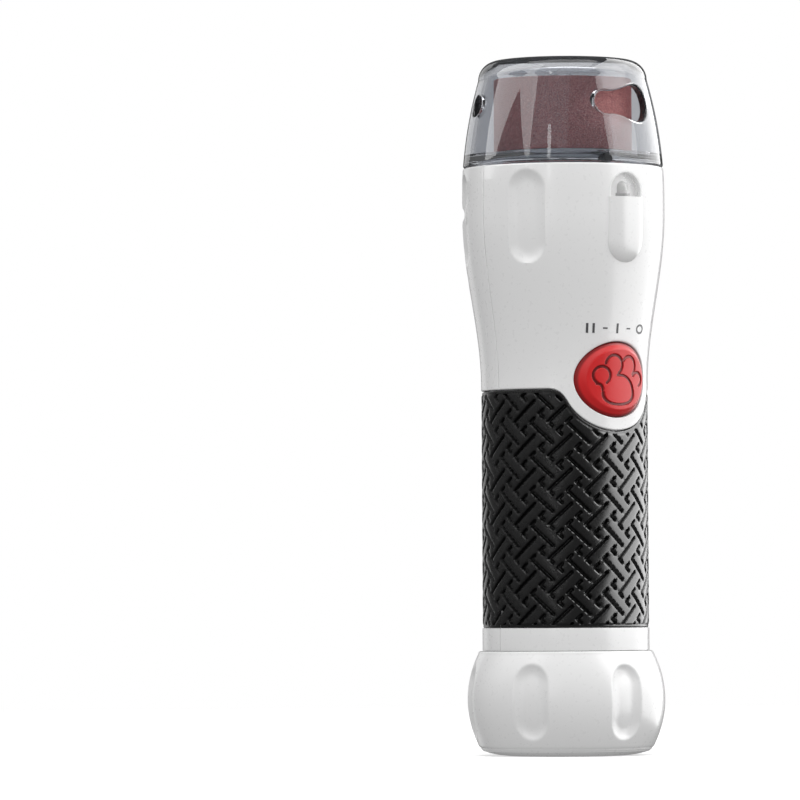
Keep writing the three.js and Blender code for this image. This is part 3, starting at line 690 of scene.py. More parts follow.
def lens_mouth(x, z):
    """The opening behind the lamp lens: a flat foot, straight sides and a round top."""
    top_z = POD_Z + POD_HALF_HEIGHT - POD_HALF_WIDTH
    side = np.hypot(x, np.clip(z - top_z, 0, None)) - MOUTH_HALF_WIDTH
    return -smooth_min(-side, -(LENS_BOTTOM - 0.1 - z), 0.5)


# ---------------------------------------------------------------- housing shells

SEAM = 0.16  # half of the gap between the shells: degrees round the wall, millimetres across the bosses
COLUMN_STEP, ROW_STEP = 0.75, 0.42
BOSS_R, SCREW_HOLE_R, POCKET_WALL_R = 3.0, 1.3, 3.5
POCKET_HOLE_R = 1.4
NOTCH_MARGIN = 3.2  # how far the fitted cells reach beyond the surround's oval


def seam_rim(edge_radius):
    """Rounding: wide at the top edge under the guard, fine along the parting line."""
    def rim(azimuth, z):
        off_seam = np.abs(np.abs((azimuth + 180) % 360 - 180) - 90)
        radius = np.where(z > HOUSING_TOP - 0.1, 0.4, edge_radius)
        return np.where(off_seam < 0.3, 0.1, radius)
    return rim


def front_shell():
    columns = spread(-90 + SEAM, 90 - SEAM, COLUMN_STEP)
    rows = spread(SHELL_STEP, HOUSING_TOP, ROW_STEP)
    sheet = Sheet(columns, rows)
    reach = SURROUND_OVAL[0] + NOTCH_MARGIN
    left = sheet.azimuths[sheet.nearest(-np.degrees(reach / BARREL_R))]
    limit = np.radians(-left) * BARREL_R
    along = np.linspace(-limit, limit, 1200)
    curve = np.stack([along, grip_edge(along)], -1)
    run = np.concatenate([[0], np.cumsum(np.linalg.norm(np.diff(curve, axis=0), axis=1))])
    stops = np.linspace(0, run[-1], 120)[1:-1]
    bottom = [(np.degrees(np.interp(s, run, curve[:, 0]) / BARREL_R), np.interp(s, run, curve[:, 1]))
              for s in stops]
    block = (-reach, reach, SHELL_STEP - BUTTON_Z, 16)
    sheet.hole(0, 0, BUTTON_Z, block, SURROUND_OVAL, ellipse(BUTTON_OVAL, BUTTON_GAP), 9, bottom)
    mouth_z = LENS_BOTTOM + 2.6
    half = (MOUTH_HALF_WIDTH, 3.2)
    block = (-6.4, 6.4, -4.6, 5.4)
    sheet.hole(0, 0, mouth_z, block, half, traced(lens_mouth, 0, mouth_z, half), 5)
    sheet.fill()
    forms = [thick(sheet, head_point, head_inside, seam_rim(0.3)), core(-90 + SEAM, 90 - SEAM, True)]
    forms += [boss(x, z, -SEAM, BOSS_R, SCREW_HOLE_R) for x, z in SCREW_PLACES]
    piece("shell_front", "white_plastic", "housing", forms, ["front_shell"])


def core(low, high, tongue):
    """The hidden barrel under the grip, with the neck ring and the spigot below it."""
    outline = filleted([
        (SPIGOT_R - 0.6, SPIGOT_BOTTOM), (SPIGOT_R, SPIGOT_BOTTOM + 0.8), (SPIGOT_R, NECK_BOTTOM),
        (BARREL_R, NECK_BOTTOM), (BARREL_R, NECK_TOP), (CORE_R, NECK_TOP), (CORE_R, SHELL_STEP + 2),
    ], 0.15)
    columns = spread(low, high, 1.5)
    tops = np.full(len(columns), outline[-1][1])
    if tongue:
        tops = np.minimum(tops, grip_edge(np.radians(columns) * BARREL_R) + 1.4)
    outer, inner = [], []
    for k, (r, z) in enumerate(outline):
        share = k / (len(outline) - 1)
        outer.append(on_wall(columns, r, tops if share == 1 else z))
        inner.append(on_wall(columns, BORE_R, SPIGOT_BOTTOM + share * (tops - SPIGOT_BOTTOM)))
    return slab(np.array(outer), np.array(inner))


def slab(outer, inner):
    """A closed form between two grids of points."""
    rows, columns = outer.shape[:2]
    count = rows * columns
    ids = np.arange(count).reshape(rows, columns)
    quads = np.stack([ids[:-1, :-1], ids[:-1, 1:], ids[1:, 1:], ids[1:, :-1]], -1).reshape(-1, 4)
    border = np.concatenate([ids[0, :-1], ids[:-1, -1], ids[-1, :0:-1], ids[:0:-1, 0]])
    ahead = np.roll(border, -1)
    sides = np.stack([ahead, border, count + border, count + ahead], -1)
    faces = np.vstack([quads, count + quads[:, ::-1], sides])
    return np.vstack([outer.reshape(-1, 3), inner.reshape(-1, 3)]), faces.tolist()


def boss(x, z, near_y, outer_r, inner_r, sides=32):
    """A tube along Y, from near the parting plane into the front wall, whose curve its far end follows."""
    angle = np.arange(sides) * 2 * np.pi / sides
    rings = []
    for radius, reaches in ((outer_r, False), (outer_r, True), (inner_r, True), (inner_r, False)):
        px, pz = x + radius * np.cos(angle), z + radius * np.sin(angle)
        wall_y = -np.sqrt((wall_radius(pz) + 0.5) ** 2 - px ** 2)
        rings.append(np.stack([px, wall_y if reaches else np.full(sides, near_y), pz], -1))
    return looped(rings)


def pocket(x, z, sides=48):
    """A screw pocket in the rear shell: a tube open at the wall, with a bored floor."""
    angle = np.arange(sides) * 2 * np.pi / sides
    rings = []

    def ring(radius, y):
        px, pz = x + radius * np.cos(angle), z + radius * np.sin(angle)
        rings.append(np.stack([px, np.broadcast_to(y(px, pz) if callable(y) else y, px.shape), pz], -1))

    def under_wall(px, pz):
        return np.sqrt(np.clip((body_radius(pz) - 0.7) ** 2 - px ** 2, 1, None))

    ring(POCKET_HOLE_R, SEAM)
    ring(POCKET_WALL_R, SEAM)
    ring(POCKET_WALL_R, lambda px, pz: under_wall(px, pz) - 0.5)
    ring(POCKET_R, under_wall)
    ring(POCKET_R, POCKET_Y + 0.2)
    ring(POCKET_R - 0.2, POCKET_Y)
    ring(POCKET_HOLE_R, POCKET_Y)
    return looped(rings, inward=True)


def rear_shell():
    columns = spread(90 + SEAM, 270 - SEAM, COLUMN_STEP)
    rows = spread(SHELL_STEP, HOUSING_TOP, ROW_STEP)
    sheet = Sheet(columns, rows)
    for x, z in SCREW_PLACES:
        cut_screw_pocket(sheet, x, z)
    sheet.fill()
    forms = [thick(sheet, head_point, head_inside, seam_rim(0.25)), core(90 + SEAM, 270 - SEAM, False)]
    forms += [pocket(x, z) for x, z in SCREW_PLACES]
    piece("shell_rear", "white_plastic", "housing", forms, ["rear_shell"])


def cut_screw_pocket(sheet, x, z):
    """The mouth of a pocket that runs along Y. Seen from the back, distances across grow towards -X."""
    slant = np.arcsin(-x / float(body_radius(z)))
    half = (POCKET_R / np.cos(slant), POCKET_R)
    margin = 1.6
    block = (-half[0] - margin, half[0] + margin, -half[1] - margin, half[1] + margin)

    def outline(angle):
        return -x + POCKET_R * np.cos(angle), z + POCKET_R * np.sin(angle)

    sheet.hole(180, slant * float(body_radius(z)), z, block, half, outline, 4)


def spigot_thread():
    piece("spigot_thread", "white_plastic", "housing", [ridge(SPIGOT_R - 0.4, SPIGOT_R + 0.6, 15.5)])


def ridge(base_r, crest_r, start_z, turns=1.25, lead=4.0, steps=110):
    """A helical thread ridge whose ends run out into the wall."""
    section = ((0, -0.7), (1, -0.35), (1, 0.35), (0, 0.7))
    points, faces = [], []
    for k in range(steps + 1):
        t = k / steps
        ease = min(1, 12 * t, 12 * (1 - t))
        angle = 360 * turns * t
        for rise, dz in section:
            radius = base_r + rise * ease * (crest_r - base_r) + (1 - ease) * rise * 0.05
            z = start_z + lead * turns * t + dz * (0.3 + 0.7 * ease)
            points.append(tuple(on_wall(np.array(angle), radius, z)))
    outward = crest_r > base_r
    for k in range(steps):
        for c in range(4):
            a, b = 4 * k + c, 4 * k + (c + 1) % 4
            face = (a, b, b + 4, a + 4)
            faces.append(tuple(reversed(face)) if outward else face)
    ends = [(0, 1, 2, 3), tuple(4 * steps + c for c in (3, 2, 1, 0))]
    faces += ends if outward else [tuple(reversed(end)) for end in ends]
    return points, faces


# ---------------------------------------------------------------- lamp pod and lens


def past_straight(z):
    """How far a height lies beyond the pod's straight part."""
    return np.clip(np.abs(z - POD_Z) - (POD_HALF_HEIGHT - POD_HALF_WIDTH), 0, None)


def pod_rise(across, z, half_width, proud):
    """Height of the round-ended pod above the wall, over its whole outline."""
    share = np.clip(np.hypot(across, past_straight(z)) / half_width, 0, 1)
    return proud * np.sqrt(np.clip(1 - share ** POD_POWER, 0, None))


def pod_half(z, half_width):
    return np.sqrt(np.clip(half_width ** 2 - past_straight(z) ** 2, 0.02, None))


def pod_grid(heights, half_width, proud, sink, columns=48):
    """Rows of points over the pod between two heights."""
    t = np.sin(np.linspace(-np.pi / 2, np.pi / 2, columns + 1))
    grid = []
    for z in heights:
        across = t * pod_half(z, half_width)
        radius = body_radius(z) - sink + pod_rise(across, z, half_width, proud + sink)
        azimuth = np.degrees(np.arcsin(across / radius))
        grid.append(on_wall(azimuth, radius, z))
    return np.array(grid)


def lamp_pod():
    bottom = POD_Z - POD_HALF_HEIGHT
    run = LENS_BOTTOM - 0.05 - bottom
    heights = bottom + run * (1 - np.cos(np.linspace(0.03, np.pi / 2, 44)))
    outer = pod_grid(heights, POD_HALF_WIDTH, POD_PROUD, 0.5)
    inner = pod_grid(heights, POD_HALF_WIDTH, -POD_ROOT, POD_ROOT)
    piece("lamp_pod", "white_plastic", "housing", [slab(outer, inner)], smooth=40)


def lamp_cup():
    """The white floor of the recess behind the lens."""
    columns = np.linspace(-14, 14, 15)
    heights = np.linspace(LENS_BOTTOM - 1, POD_Z + POD_HALF_HEIGHT - 0.2, 9)
    outer = np.array([on_wall(columns, wall_radius(z) + 0.4, z) for z in heights])
    inner = np.array([on_wall(columns, wall_radius(z) - 0.1, z) for z in heights])
    piece("lamp_cup", "white_plastic", "housing", [slab(outer, inner)])


def lamp_lens():
    top = POD_Z + POD_HALF_HEIGHT
    heights = LENS_BOTTOM + (top - LENS_BOTTOM) * np.sin(np.linspace(0, np.pi / 2 - 0.03, 30))
    outer = pod_grid(heights, POD_HALF_WIDTH, POD_PROUD, 0.9)
    inner_heights = LENS_BOTTOM + (heights - LENS_BOTTOM) * (1 - LENS_WALL / (top - LENS_BOTTOM))
    inner = pod_grid(inner_heights, POD_HALF_WIDTH - LENS_WALL, POD_PROUD - LENS_WALL, 0.9)
    piece("lens_lamp", "clear_lens", "housing", [slab(outer, inner)], ["lamp_lens"], smooth=40)


def led():
    centre = ((LED_LOW[0] + LED_HIGH[0]) / 2, (LED_LOW[1] + LED_HIGH[1]) / 2)
    foot_r = (LED_HIGH[0] - LED_LOW[0]) / 2
    bottom, top = LED_LOW[2], LED_HIGH[2]
    body_r = foot_r * 0.8
    flange = bottom + 0.75
    dome = [(body_r * np.cos(a), top - body_r + body_r * np.sin(a)) for a in np.linspace(0, np.pi / 2, 12)]
    outline = [(0, bottom), (foot_r, bottom), (foot_r, flange), (body_r, flange), *dome[:-1], (0, top)]
    piece("led_lamp", "lamp_resin", "housing", [turned(outline, 48, centre=centre)], ["lamp"])


# ---------------------------------------------------------------- grip

# Blocks of the weave: the left corner (in periods round and down), then squares down-right and up-right.
WEAVE_BLOCKS = ((0, 0, 3, 1), (0.5, 0, 1, 3), (-0.25, 0.25, 1, 1), (0.25, -0.25, 1, 1))


def to_left_sides(across, z, cut):
    """Distance to the nearest left-hand side of a block, where each side ends that many squares early."""
    pitch = 2 * np.pi * BARREL_R / WEAVE_ROUND
    corner_across = np.radians(WEAVE_CORNER_AZIMUTH) * BARREL_R
    x = np.mod((across - corner_across) / pitch, 1) * pitch
    y = np.mod((WEAVE_CORNER_Z - z) / WEAVE_RISE, 1) * WEAVE_RISE
    nearest = np.full(np.shape(x), 9.0)
    for left, down, squares_down, squares_up in WEAVE_BLOCKS:
        for squares, slope in ((squares_down, 1), (squares_up, -1)):
            run = (squares - cut) / 4
            along = np.array([run * pitch, slope * run * WEAVE_RISE])
            for shift_x in (-1, 0, 1):
                for shift_y in (-1, 0, 1):
                    dx, dy = x - (left + shift_x) * pitch, y - (down + shift_y) * WEAVE_RISE
                    share = np.clip((dx * along[0] + dy * along[1]) / (along @ along), 0, 1)
                    gap = np.hypot(dx - share * along[0], dy - share * along[1])
                    nearest = np.minimum(nearest, gap)
    return nearest


def weave(across, z):
    """Depth share (0 on a block, 1 in a groove) and crown of the woven relief."""
    reach = WEAVE_GROOVE / 2 + WEAVE_GROOVE_WALL / 2
    depth = np.clip((reach - to_left_sides(across, z, WEAVE_CUT)) / WEAVE_GROOVE_WALL, 0, 1)
    crown = np.clip(to_left_sides(across, z, 0) / WEAVE_CROWN_WIDTH, 0, 1)
    return depth * depth * (3 - 2 * depth), 1 - (1 - crown) ** 2


def grip():
    around = WEAVE_ROUND * GRIP_COLUMNS
    columns = np.arange(around) * 360 / around
    across = np.radians((columns + 180) % 360 - 180) * BARREL_R
    rows = spread(GRIP_BOTTOM, GRIP_TOP, GRIP_ROW_STEP)
    edge = np.minimum(GRIP_TOP, grip_edge(across) - GRIP_GAP)
    slope = np.gradient(edge) / (across[1] - across[0])
    slope = np.clip(np.nan_to_num(slope), -5, 5)
    border, border_sink, soft = 0.75, 0.18, 0.2
    points, groove = [], []
    ids = np.zeros((len(rows), len(columns)), int)
    for j, z in enumerate(rows):
        height = np.minimum(z, edge)
        depth, crown = weave(across, height)
        to_edge = np.minimum(height - GRIP_BOTTOM, (edge - height) / np.hypot(1, slope))
        fade = np.clip((to_edge - border) / 0.2, 0, 1)
        lip = np.clip(soft - to_edge, 0, soft)
        radius = BARREL_R - 0.05 - WEAVE_DEPTH * depth * fade - WEAVE_CROWN * (1 - crown) * fade
        radius -= (1 - fade) * border_sink + (soft - np.sqrt(soft ** 2 - lip ** 2))
        start = len(points)
        points.extend(map(tuple, on_wall(columns, radius, height)))
        # painted shade: the grooves darken by their depth, and the sunken border band along the edges darkens
        # too
        groove.extend(np.clip(depth * fade + 0.75 * (1 - fade), 0, 1))
        for i in range(len(columns)):
            ids[j, i] = ids[j - 1, i] if j and rows[j - 1] >= edge[i] else start + i
    count = len(columns)
    faces = skin(ids.tolist())
    low = len(points)
    points.extend(map(tuple, on_wall(columns, GRIP_BORE_R, GRIP_BOTTOM)))
    high = len(points)
    points.extend(map(tuple, on_wall(columns, GRIP_BORE_R, edge)))
    # painted shade: the end faces down to the bore get the full darkening
    groove.extend([1.0] * (2 * count))
    for i in range(count):
        m = (i + 1) % count
        faces.append((ids[0, m], ids[0, i], low + i, low + m))
        faces.append((low + m, low + i, high + i, high + m))
        faces.append((ids[-1, i], ids[-1, m], high + m, high + i))
    used = sorted({v for face in faces for v in face})
    renumber = {v: n for n, v in enumerate(used)}
    faces = [tuple(renumber[v] for v in face) for face in faces]
    piece("grip_weave", "grip_rubber", "housing", [(np.array(points)[used], faces)], ["grip_sleeve"],
          smooth=50, groove=np.array(groove)[used])


# ---------------------------------------------------------------- button

# Strokes of the paw: middle x and z, half width and height, the angles it runs between, and its depth.
PAW_STROKES = (
    (-4.75, 0.9, 2.15, 2.1, -55, 235, 1.0),
    (-5.8, -2.3, 1.2, 1.2, -12, 100, 1.0),
    (-1.5, 3.4, 2.3, 2.3, -55, 172, 1.0),
    (2.9, 3.1, 2.1, 2.3, -50, 145, 0.8),
    (5.9, 0.1, 1.65, 1.6, -65, 150, 0.8),
)
PAW_PAD = (-0.05, -2.42, 4.35, 3.45, -168, 97)
PAW_PAD_TAPER, PAW_PAD_POWER = 0.16, 2.3
PAW_GROOVE, PAW_GROOVE_WALL, PAW_DEPTH = 0.26, 0.14, 0.34


def paw_groove(x, z):
    """Share of the groove's depth at a place on the button: strokes round the toes and the pad."""
    def stroke(reach, angle, size, start, end):
        middle, half = (start + end) / 2, (end - start) / 2
        past = np.clip(np.abs((angle - middle + 180) % 360 - 180) - half, 0, None)
        away = np.hypot((reach - 1) * size, np.radians(past) * size)
        share = np.clip((PAW_GROOVE + PAW_GROOVE_WALL - away) / PAW_GROOVE_WALL, 0, 1)
        return share * share * (3 - 2 * share)

    deepest = np.zeros(np.shape(x))
    for cx, cz, a, b, start, end, depth in PAW_STROKES:
        across, up = (x - cx) / a, (z - cz) / b
        angle = np.degrees(np.arctan2(up, across))
        deepest = np.maximum(deepest, depth * stroke(np.hypot(across, up), angle, (a + b) / 2, start, end))
    cx, cz, a, b, start, end = PAW_PAD
    up = (z - cz) / b
    across = (x - cx) / (a * (1 - PAW_PAD_TAPER * up))
    angle = np.degrees(np.arctan2(up, across))
    reach = (np.abs(across) ** PAW_PAD_POWER + np.abs(up) ** PAW_PAD_POWER) ** (1 / PAW_PAD_POWER)
    return np.maximum(deepest, stroke(reach, angle, (a + b) / 2, start, end))


def button():
    rings, sides = 96, 240
    angle = np.arange(sides) * 2 * np.pi / sides
    shares = np.concatenate([[0], np.linspace(1 / rings, 1, rings)])
    flank_start, flank_end, edge_start, dark_start = 0.79, 0.97, 0.955, 0.91
    rise = -BUTTON_LOW[1] - float(body_radius(BUTTON_Z))
    points, groove, ids = [], [], []
    for share in shares:
        x = BUTTON_OVAL[0] * share * np.cos(angle)
        z = BUTTON_OVAL[1] * share * np.sin(angle)
        t = np.clip((share - flank_start) / (flank_end - flank_start), 0, 1)
        edge = np.clip((share - edge_start) / 0.045, 0, 1)
        height = rise * (1 - t * t * (3 - 2 * t)) - 0.5 * edge ** 2
        cut = paw_groove(x, z)
        radius = body_radius(z + BUTTON_Z) + height - PAW_DEPTH * cut - 0.1 * share ** 2
        ids.append([len(points)] * sides if share == 0 else list(range(len(points), len(points) + sides)))
        y = -np.sqrt(radius ** 2 - x ** 2)
        ring = np.stack([x, y, z + BUTTON_Z], -1)
        # painted shade: the button darkens towards its rim, and the paw's grooves darken by their depth
        rim_painted_shade = np.clip((share - dark_start) / 0.04, 0, 1) * 0.8
        if share == 0:
            points.append(tuple(ring[0]))
            groove.append(cut[0])
        else:
            points.extend(map(tuple, ring))
            groove.extend(np.maximum(cut, rim_painted_shade))
    x, z = BUTTON_OVAL[0] * np.cos(angle), BUTTON_OVAL[1] * np.sin(angle)
    ids.append(list(range(len(points), len(points) + sides)))
    points.extend(zip(x, -np.sqrt(BUTTON_SKIRT_R ** 2 - x ** 2), z + BUTTON_Z))
    ids.append([len(points)] * sides)
    points.append((0, -BUTTON_SKIRT_R, BUTTON_Z))
    # painted shade: the hidden side wall and skirt get the full darkening
    groove.extend([1.0] * (sides + 1))
    piece("button_paw", "button_red", "button", [(points, skin(ids, inward=True))], ["push_button"],
          smooth=45, groove=groove)


# ---------------------------------------------------------------- switch marks

MARK_Z, MARK_HEIGHT, MARK_STROKE, MARK_LIFT = 100.6, 2.3, 0.58, 0.045
DASH_LENGTH, DASH_HEIGHT = 1.2, 0.34


def printed(across, heights):
    """A thin printed patch on the wall, over a grid of distances round it and heights."""
    radius = body_radius(heights)
    azimuth = np.degrees(across / float(body_radius(MARK_Z)))
    return slab(on_wall(azimuth, radius + MARK_LIFT, heights), on_wall(azimuth, radius - 0.1, heights))


def bar_mark(x, half_width, half_height):
    return printed(*np.meshgrid(np.linspace(x - half_width, x + half_width, 6),
                                np.linspace(MARK_Z - half_height, MARK_Z + half_height, 6)))


def ring_mark(x, half_width, half_height, stroke, sides=48):
    angle = np.linspace(2 * np.pi, 0, sides + 1)
    shrink = np.array([[stroke], [0]])
    return printed(x + (half_width - shrink) * np.cos(angle), MARK_Z + (half_height - shrink) * np.sin(angle))


def switch_marks():
    """The three switch positions, as generic strokes: two bars, one bar, a ring, with dashes between."""
    forms = [bar_mark(x, MARK_STROKE / 2, MARK_HEIGHT / 2) for x in (-8.5, -6.9, -0.5)]
    forms += [bar_mark(x, DASH_LENGTH / 2, DASH_HEIGHT / 2) for x in (-3.9, 3.0)]
    forms.append(ring_mark(7.4, 1.5, MARK_HEIGHT / 2, 0.46))
    piece("switch_marks", "black_plastic", "housing", forms, material="mark_ink")


# ---------------------------------------------------------------- base cap and seal


def base_cap():
    foot_r, edge_z, bulge_z, curve = 13.0, 1.3, 13.3, 0.0222
    floor_z, bore_r = 2.7, 19.4

    def radius(z):
        return CAP_R - curve * (z - bulge_z) ** 2

    foot = [(r, edge_z * ((r - foot_r) / (radius(edge_z) - foot_r)) ** 2)
            for r in np.linspace(foot_r, radius(edge_z) - 0.5, 12)]
    edge = [(radius(edge_z) - 0.5 + 0.5 * np.sin(a), edge_z + 0.55 - 0.5 * np.cos(a))
            for a in np.linspace(0.2, np.pi / 2, 5)]
    side = [(radius(z), z) for z in spread(edge_z + 0.9, CAP_TOP - 0.75, 0.4)]
    top_r = radius(CAP_TOP - 0.6)
    lip = [(top_r - 0.6 + 0.6 * np.cos(a), CAP_TOP - 0.6 + 0.6 * np.sin(a))
           for a in np.linspace(0.1, np.pi / 2, 6)]
    bore = filleted([(bore_r + 0.9, CAP_TOP), (bore_r, CAP_TOP - 0.4), (bore_r, floor_z + 1.2),
                     (bore_r - 1.2, floor_z), (0, floor_z)], 0.25)
    outline = [(0, 0), *foot, *edge, *side, *lip, *bore]

    def shape(azimuth, r, z):
        return dimpled(r, azimuth, np.full(len(azimuth), z), CAP_DIMPLE, False)

    forms = [turned(outline, 480, shape=shape), ridge(bore_r + 0.4, bore_r - 0.6, 17.5)]
    piece("cap_base", "white_plastic", "base_cap", forms, ["base_cap"], smooth=40)


def cap_seal():
    inner_r, outer_r = SPIGOT_R + 0.02, SEAL_HIGH[0]
    outline = filleted(oblong(inner_r, outer_r, SEAL_LOW[2], SEAL_HIGH[2]), 0.25, closed=True)
    piece("seal_cap", "seal_rubber", "housing", [turned(outline, 128, closed=True)], ["cap_seal"])


# ---------------------------------------------------------------- drum, band and deck


def deck():
    inner_r, deck_r, flange_r = 3.4, 19.5, 21.4
    plate = DECK_TOP - 1.7
    outline = filleted([
        (inner_r, plate), (deck_r - 2, plate), (deck_r - 2, DECK_BOTTOM), (flange_r, DECK_BOTTOM),
        (flange_r, DECK_BOTTOM + 1.4), (deck_r, DECK_BOTTOM + 1.4), (deck_r, DECK_TOP), (inner_r, DECK_TOP),
    ], 0.3, closed=True)
    piece("deck_moulded", "deck_plastic", "housing", [turned(outline, 144, closed=True)], ["drum_deck"])


def guard_key():
    low, high = box_mm("guard_key")
    azimuth, half_width, outer_r, inner_r = -9, 0.95, 20.85, 17.7
    across = np.linspace(-half_width, half_width, 7)
    inner_azimuths = np.degrees(np.arcsin(across / inner_r)) + azimuth
    outer_azimuths = np.degrees(np.arcsin(across / (outer_r + 0.05))) + azimuth
    outer, inner = [], []
    for z in np.linspace(low[2], high[2], 5):
        ease = 0.12 * max(0, (z - high[2] + 0.3) / 0.3)
        outer.append(on_wall(outer_azimuths, outer_r - ease, z))
        inner.append(on_wall(inner_azimuths, inner_r, z))
    piece("key_guard", "black_plastic", "housing", [slab(np.array(outer), np.array(inner))], ["guard_key"])


def drum_hub():
    drum_r, bore_r, wall = BAND_R - 1.1, 1.2, 1.6
    web = 157.6
    recess_r, recess_z = 10.5, HUB_TOP - 0.5
    outline = filleted([
        (bore_r, HUB_BOTTOM), (3.2, HUB_BOTTOM), (3.2, web), (drum_r - wall, web),
        (drum_r - wall, HUB_BOTTOM), (HUB_FOOT_R, HUB_BOTTOM), (HUB_FOOT_R, BAND_BOTTOM - 0.2),
        (drum_r, BAND_BOTTOM - 0.15), (drum_r, HUB_TOP - 0.7), (drum_r - 0.7, HUB_TOP),
        (recess_r, HUB_TOP), (recess_r - 0.4, recess_z), (4.2, recess_z), (3.8, HUB_TOP), (bore_r, HUB_TOP),
    ], 0.2, closed=True)
    piece("hub_drum", "black_plastic", "drum", [turned(outline, 144, closed=True)], ["drum_hub"],
          material="deck_plastic")


def sanding_band():
    inner_r = BAND_R - 0.8
    joint_azimuth, joint_slant, joint_width, joint_depth = 200, 1.6, 0.9, 0.1
    outline = filleted(oblong(inner_r, BAND_R, BAND_BOTTOM, BAND_TOP), 0.18, closed=True)

    def shape(azimuth, r, z):
        # the slanted joint where the band's ends meet
        off = (azimuth - joint_azimuth - (z - BAND_BOTTOM) * joint_slant + 180) % 360 - 180
        step = joint_depth * np.exp(-(off / joint_width) ** 2)
        return r - np.where(r > BAND_R - 0.1, step, 0)

    band = turned(outline, 360, closed=True, shape=shape)
    piece("band_abrasive", "abrasive", "drum", [band], ["sanding_band"])


def cross_screw(head_r, head_rise, shank_r, length, recess=0.7, rings=26, sides=72):
    """A pan-head screw with a cross recess. The head's seat is at height 0 and the shank runs down."""
    angle = np.arange(sides) * 2 * np.pi / sides
    rim_share = 0.45  # share of the head's height that stands straight up
    arm, reach = head_r * 0.16, head_r * 0.62
    ids, points = [], []

    def ring(r, z):
        ids.append(list(range(len(points), len(points) + sides)))
        points.extend(zip(r * np.cos(angle), r * np.sin(angle), np.broadcast_to(z, angle.shape)))

    ids.append([0] * sides)
    points.append((0, 0, -length))
    ring(shank_r, -length + 0.3)
    ring(shank_r, 0)
    ring(head_r, 0)
    ring(head_r, head_rise * rim_share)
    for share in np.linspace(0.96, 0.04, rings):
        r = head_r * share
        x, y = np.abs(r * np.cos(angle)), np.abs(r * np.sin(angle))
        inside = np.maximum((arm - y) * (x < reach), (arm - x) * (y < reach))
        share_in = np.clip(inside / 0.1, 0, 1)
        dome = head_rise * (rim_share + (1 - rim_share) * np.sqrt(max(0, 1 - share ** 3)))
        ring(r, dome - recess * share_in)
    ids.append([len(points)] * sides)
    points.append((0, 0, head_rise - recess))
    return np.array(points, float), skin(ids)


def screws():
    low, high = box_mm("drum_screw")
    head_r = (high[0] - low[0]) / 2
    points, faces = cross_screw(head_r, high[2] - DRUM_SCREW_SEAT, 0.9, DRUM_SCREW_SEAT - low[2])
    points[:, 2] += DRUM_SCREW_SEAT
    piece("screw_drum", "steel", "drum", [(points, faces)], ["drum_screw"], smooth=40)
    for n in range(4):
        node = f"housing_screw_{n + 1}"
        low, high = box_mm(node)
        centre = (low + high) / 2
        seat = high[1] - SCREW_HEAD_HEIGHT
        points, faces = cross_screw((high[0] - low[0]) / 2, SCREW_HEAD_HEIGHT, 1.1, seat - low[1])
        # the shank runs towards the front, along -Y
        laid = np.stack([points[:, 0] + centre[0], points[:, 2] + seat, centre[2] - points[:, 1]], -1)
        piece(f"screw_housing_{n + 1}", "steel", "housing", [(laid, faces)], [node], smooth=40)


# ---------------------------------------------------------------- guard


def guard_outline():
    """Matching outer and inner rows, from the skirt's foot to the crown's middle. Each row holds its level,
    which is the height itself on the wall, then the outer radius and height and the inner ones."""
    skirt_in, skirt_out, skirt_top = 19.9, 21.3, 137.5
    seat = HOUSING_TOP + 0.3
    corner_z, flat_r = 160.4, 15.5
    wall_start = 143.4

    def at(z, inner_z=None):
        inner_z = z if inner_z is None else inner_z
        return float(body_radius(z)), z, float(wall_radius(inner_z)), inner_z

    foot = SKIRT_BOTTOM
    seat_r = float(body_radius(seat))
    rows = [
        (foot, skirt_out - 0.3, foot, skirt_in + 0.2, foot),
        (foot + 0.3, skirt_out, foot + 0.3, skirt_in, foot + 0.3),
        (skirt_top, skirt_out, skirt_top, skirt_in, skirt_top),
        (seat - 0.2, skirt_out, seat - 0.2, skirt_in, 139.2),
        (seat, skirt_out + 0.2, seat, skirt_in, 139.9),
        (seat + 0.1, seat_r - 0.35, seat, skirt_in, 140.5),
        (seat + 0.2, seat_r - 0.1, seat + 0.1, skirt_in + 0.1, 140.9),
        (seat + 0.5, float(body_radius(seat + 0.4)), seat + 0.4, 20.6, 141.4),
        (wall_start - 1, *at(141.4, wall_start - 1)),
        *((z, *at(z)) for z in spread(wall_start, corner_z, 0.42)),
    ]
    start_r, in_start = float(body_radius(corner_z)), float(wall_radius(corner_z))
    in_flat, in_top = flat_r - WALL / 2, GUARD_TOP - WALL
    steps = 16
    for k in range(1, steps + 1):
        a = np.pi / 2 * k / steps
        rows.append((corner_z + k * 0.3,
                     flat_r + (start_r - flat_r) * np.cos(a), corner_z + (GUARD_TOP - corner_z) * np.sin(a),
                     in_flat + (in_start - in_flat) * np.cos(a), corner_z + (in_top - corner_z) * np.sin(a)))
    level = rows[-1][0]
    for k in range(1, steps):
        share = 1 - k / steps
        rows.append((level + k * 0.3, flat_r * share, GUARD_TOP, in_flat * share, in_top))
    return np.array(rows)


def port_shape(x, z):
    """Negative inside the nail port: a small round that widens smoothly into a large one."""
    rise = z - PORT_Z
    share = np.clip((x - PORT_WIDENS[0]) / (PORT_WIDENS[1] - PORT_WIDENS[0]), 0, 1)
    radius = PORT_SMALL_R + (PORT_LARGE_R - PORT_SMALL_R) * share * share * (3 - 2 * share)
    past = np.clip(PORT_SMALL_X - x, 0, None) + np.clip(x - PORT_LARGE_X, 0, None)
    return np.hypot(past, rise) - radius


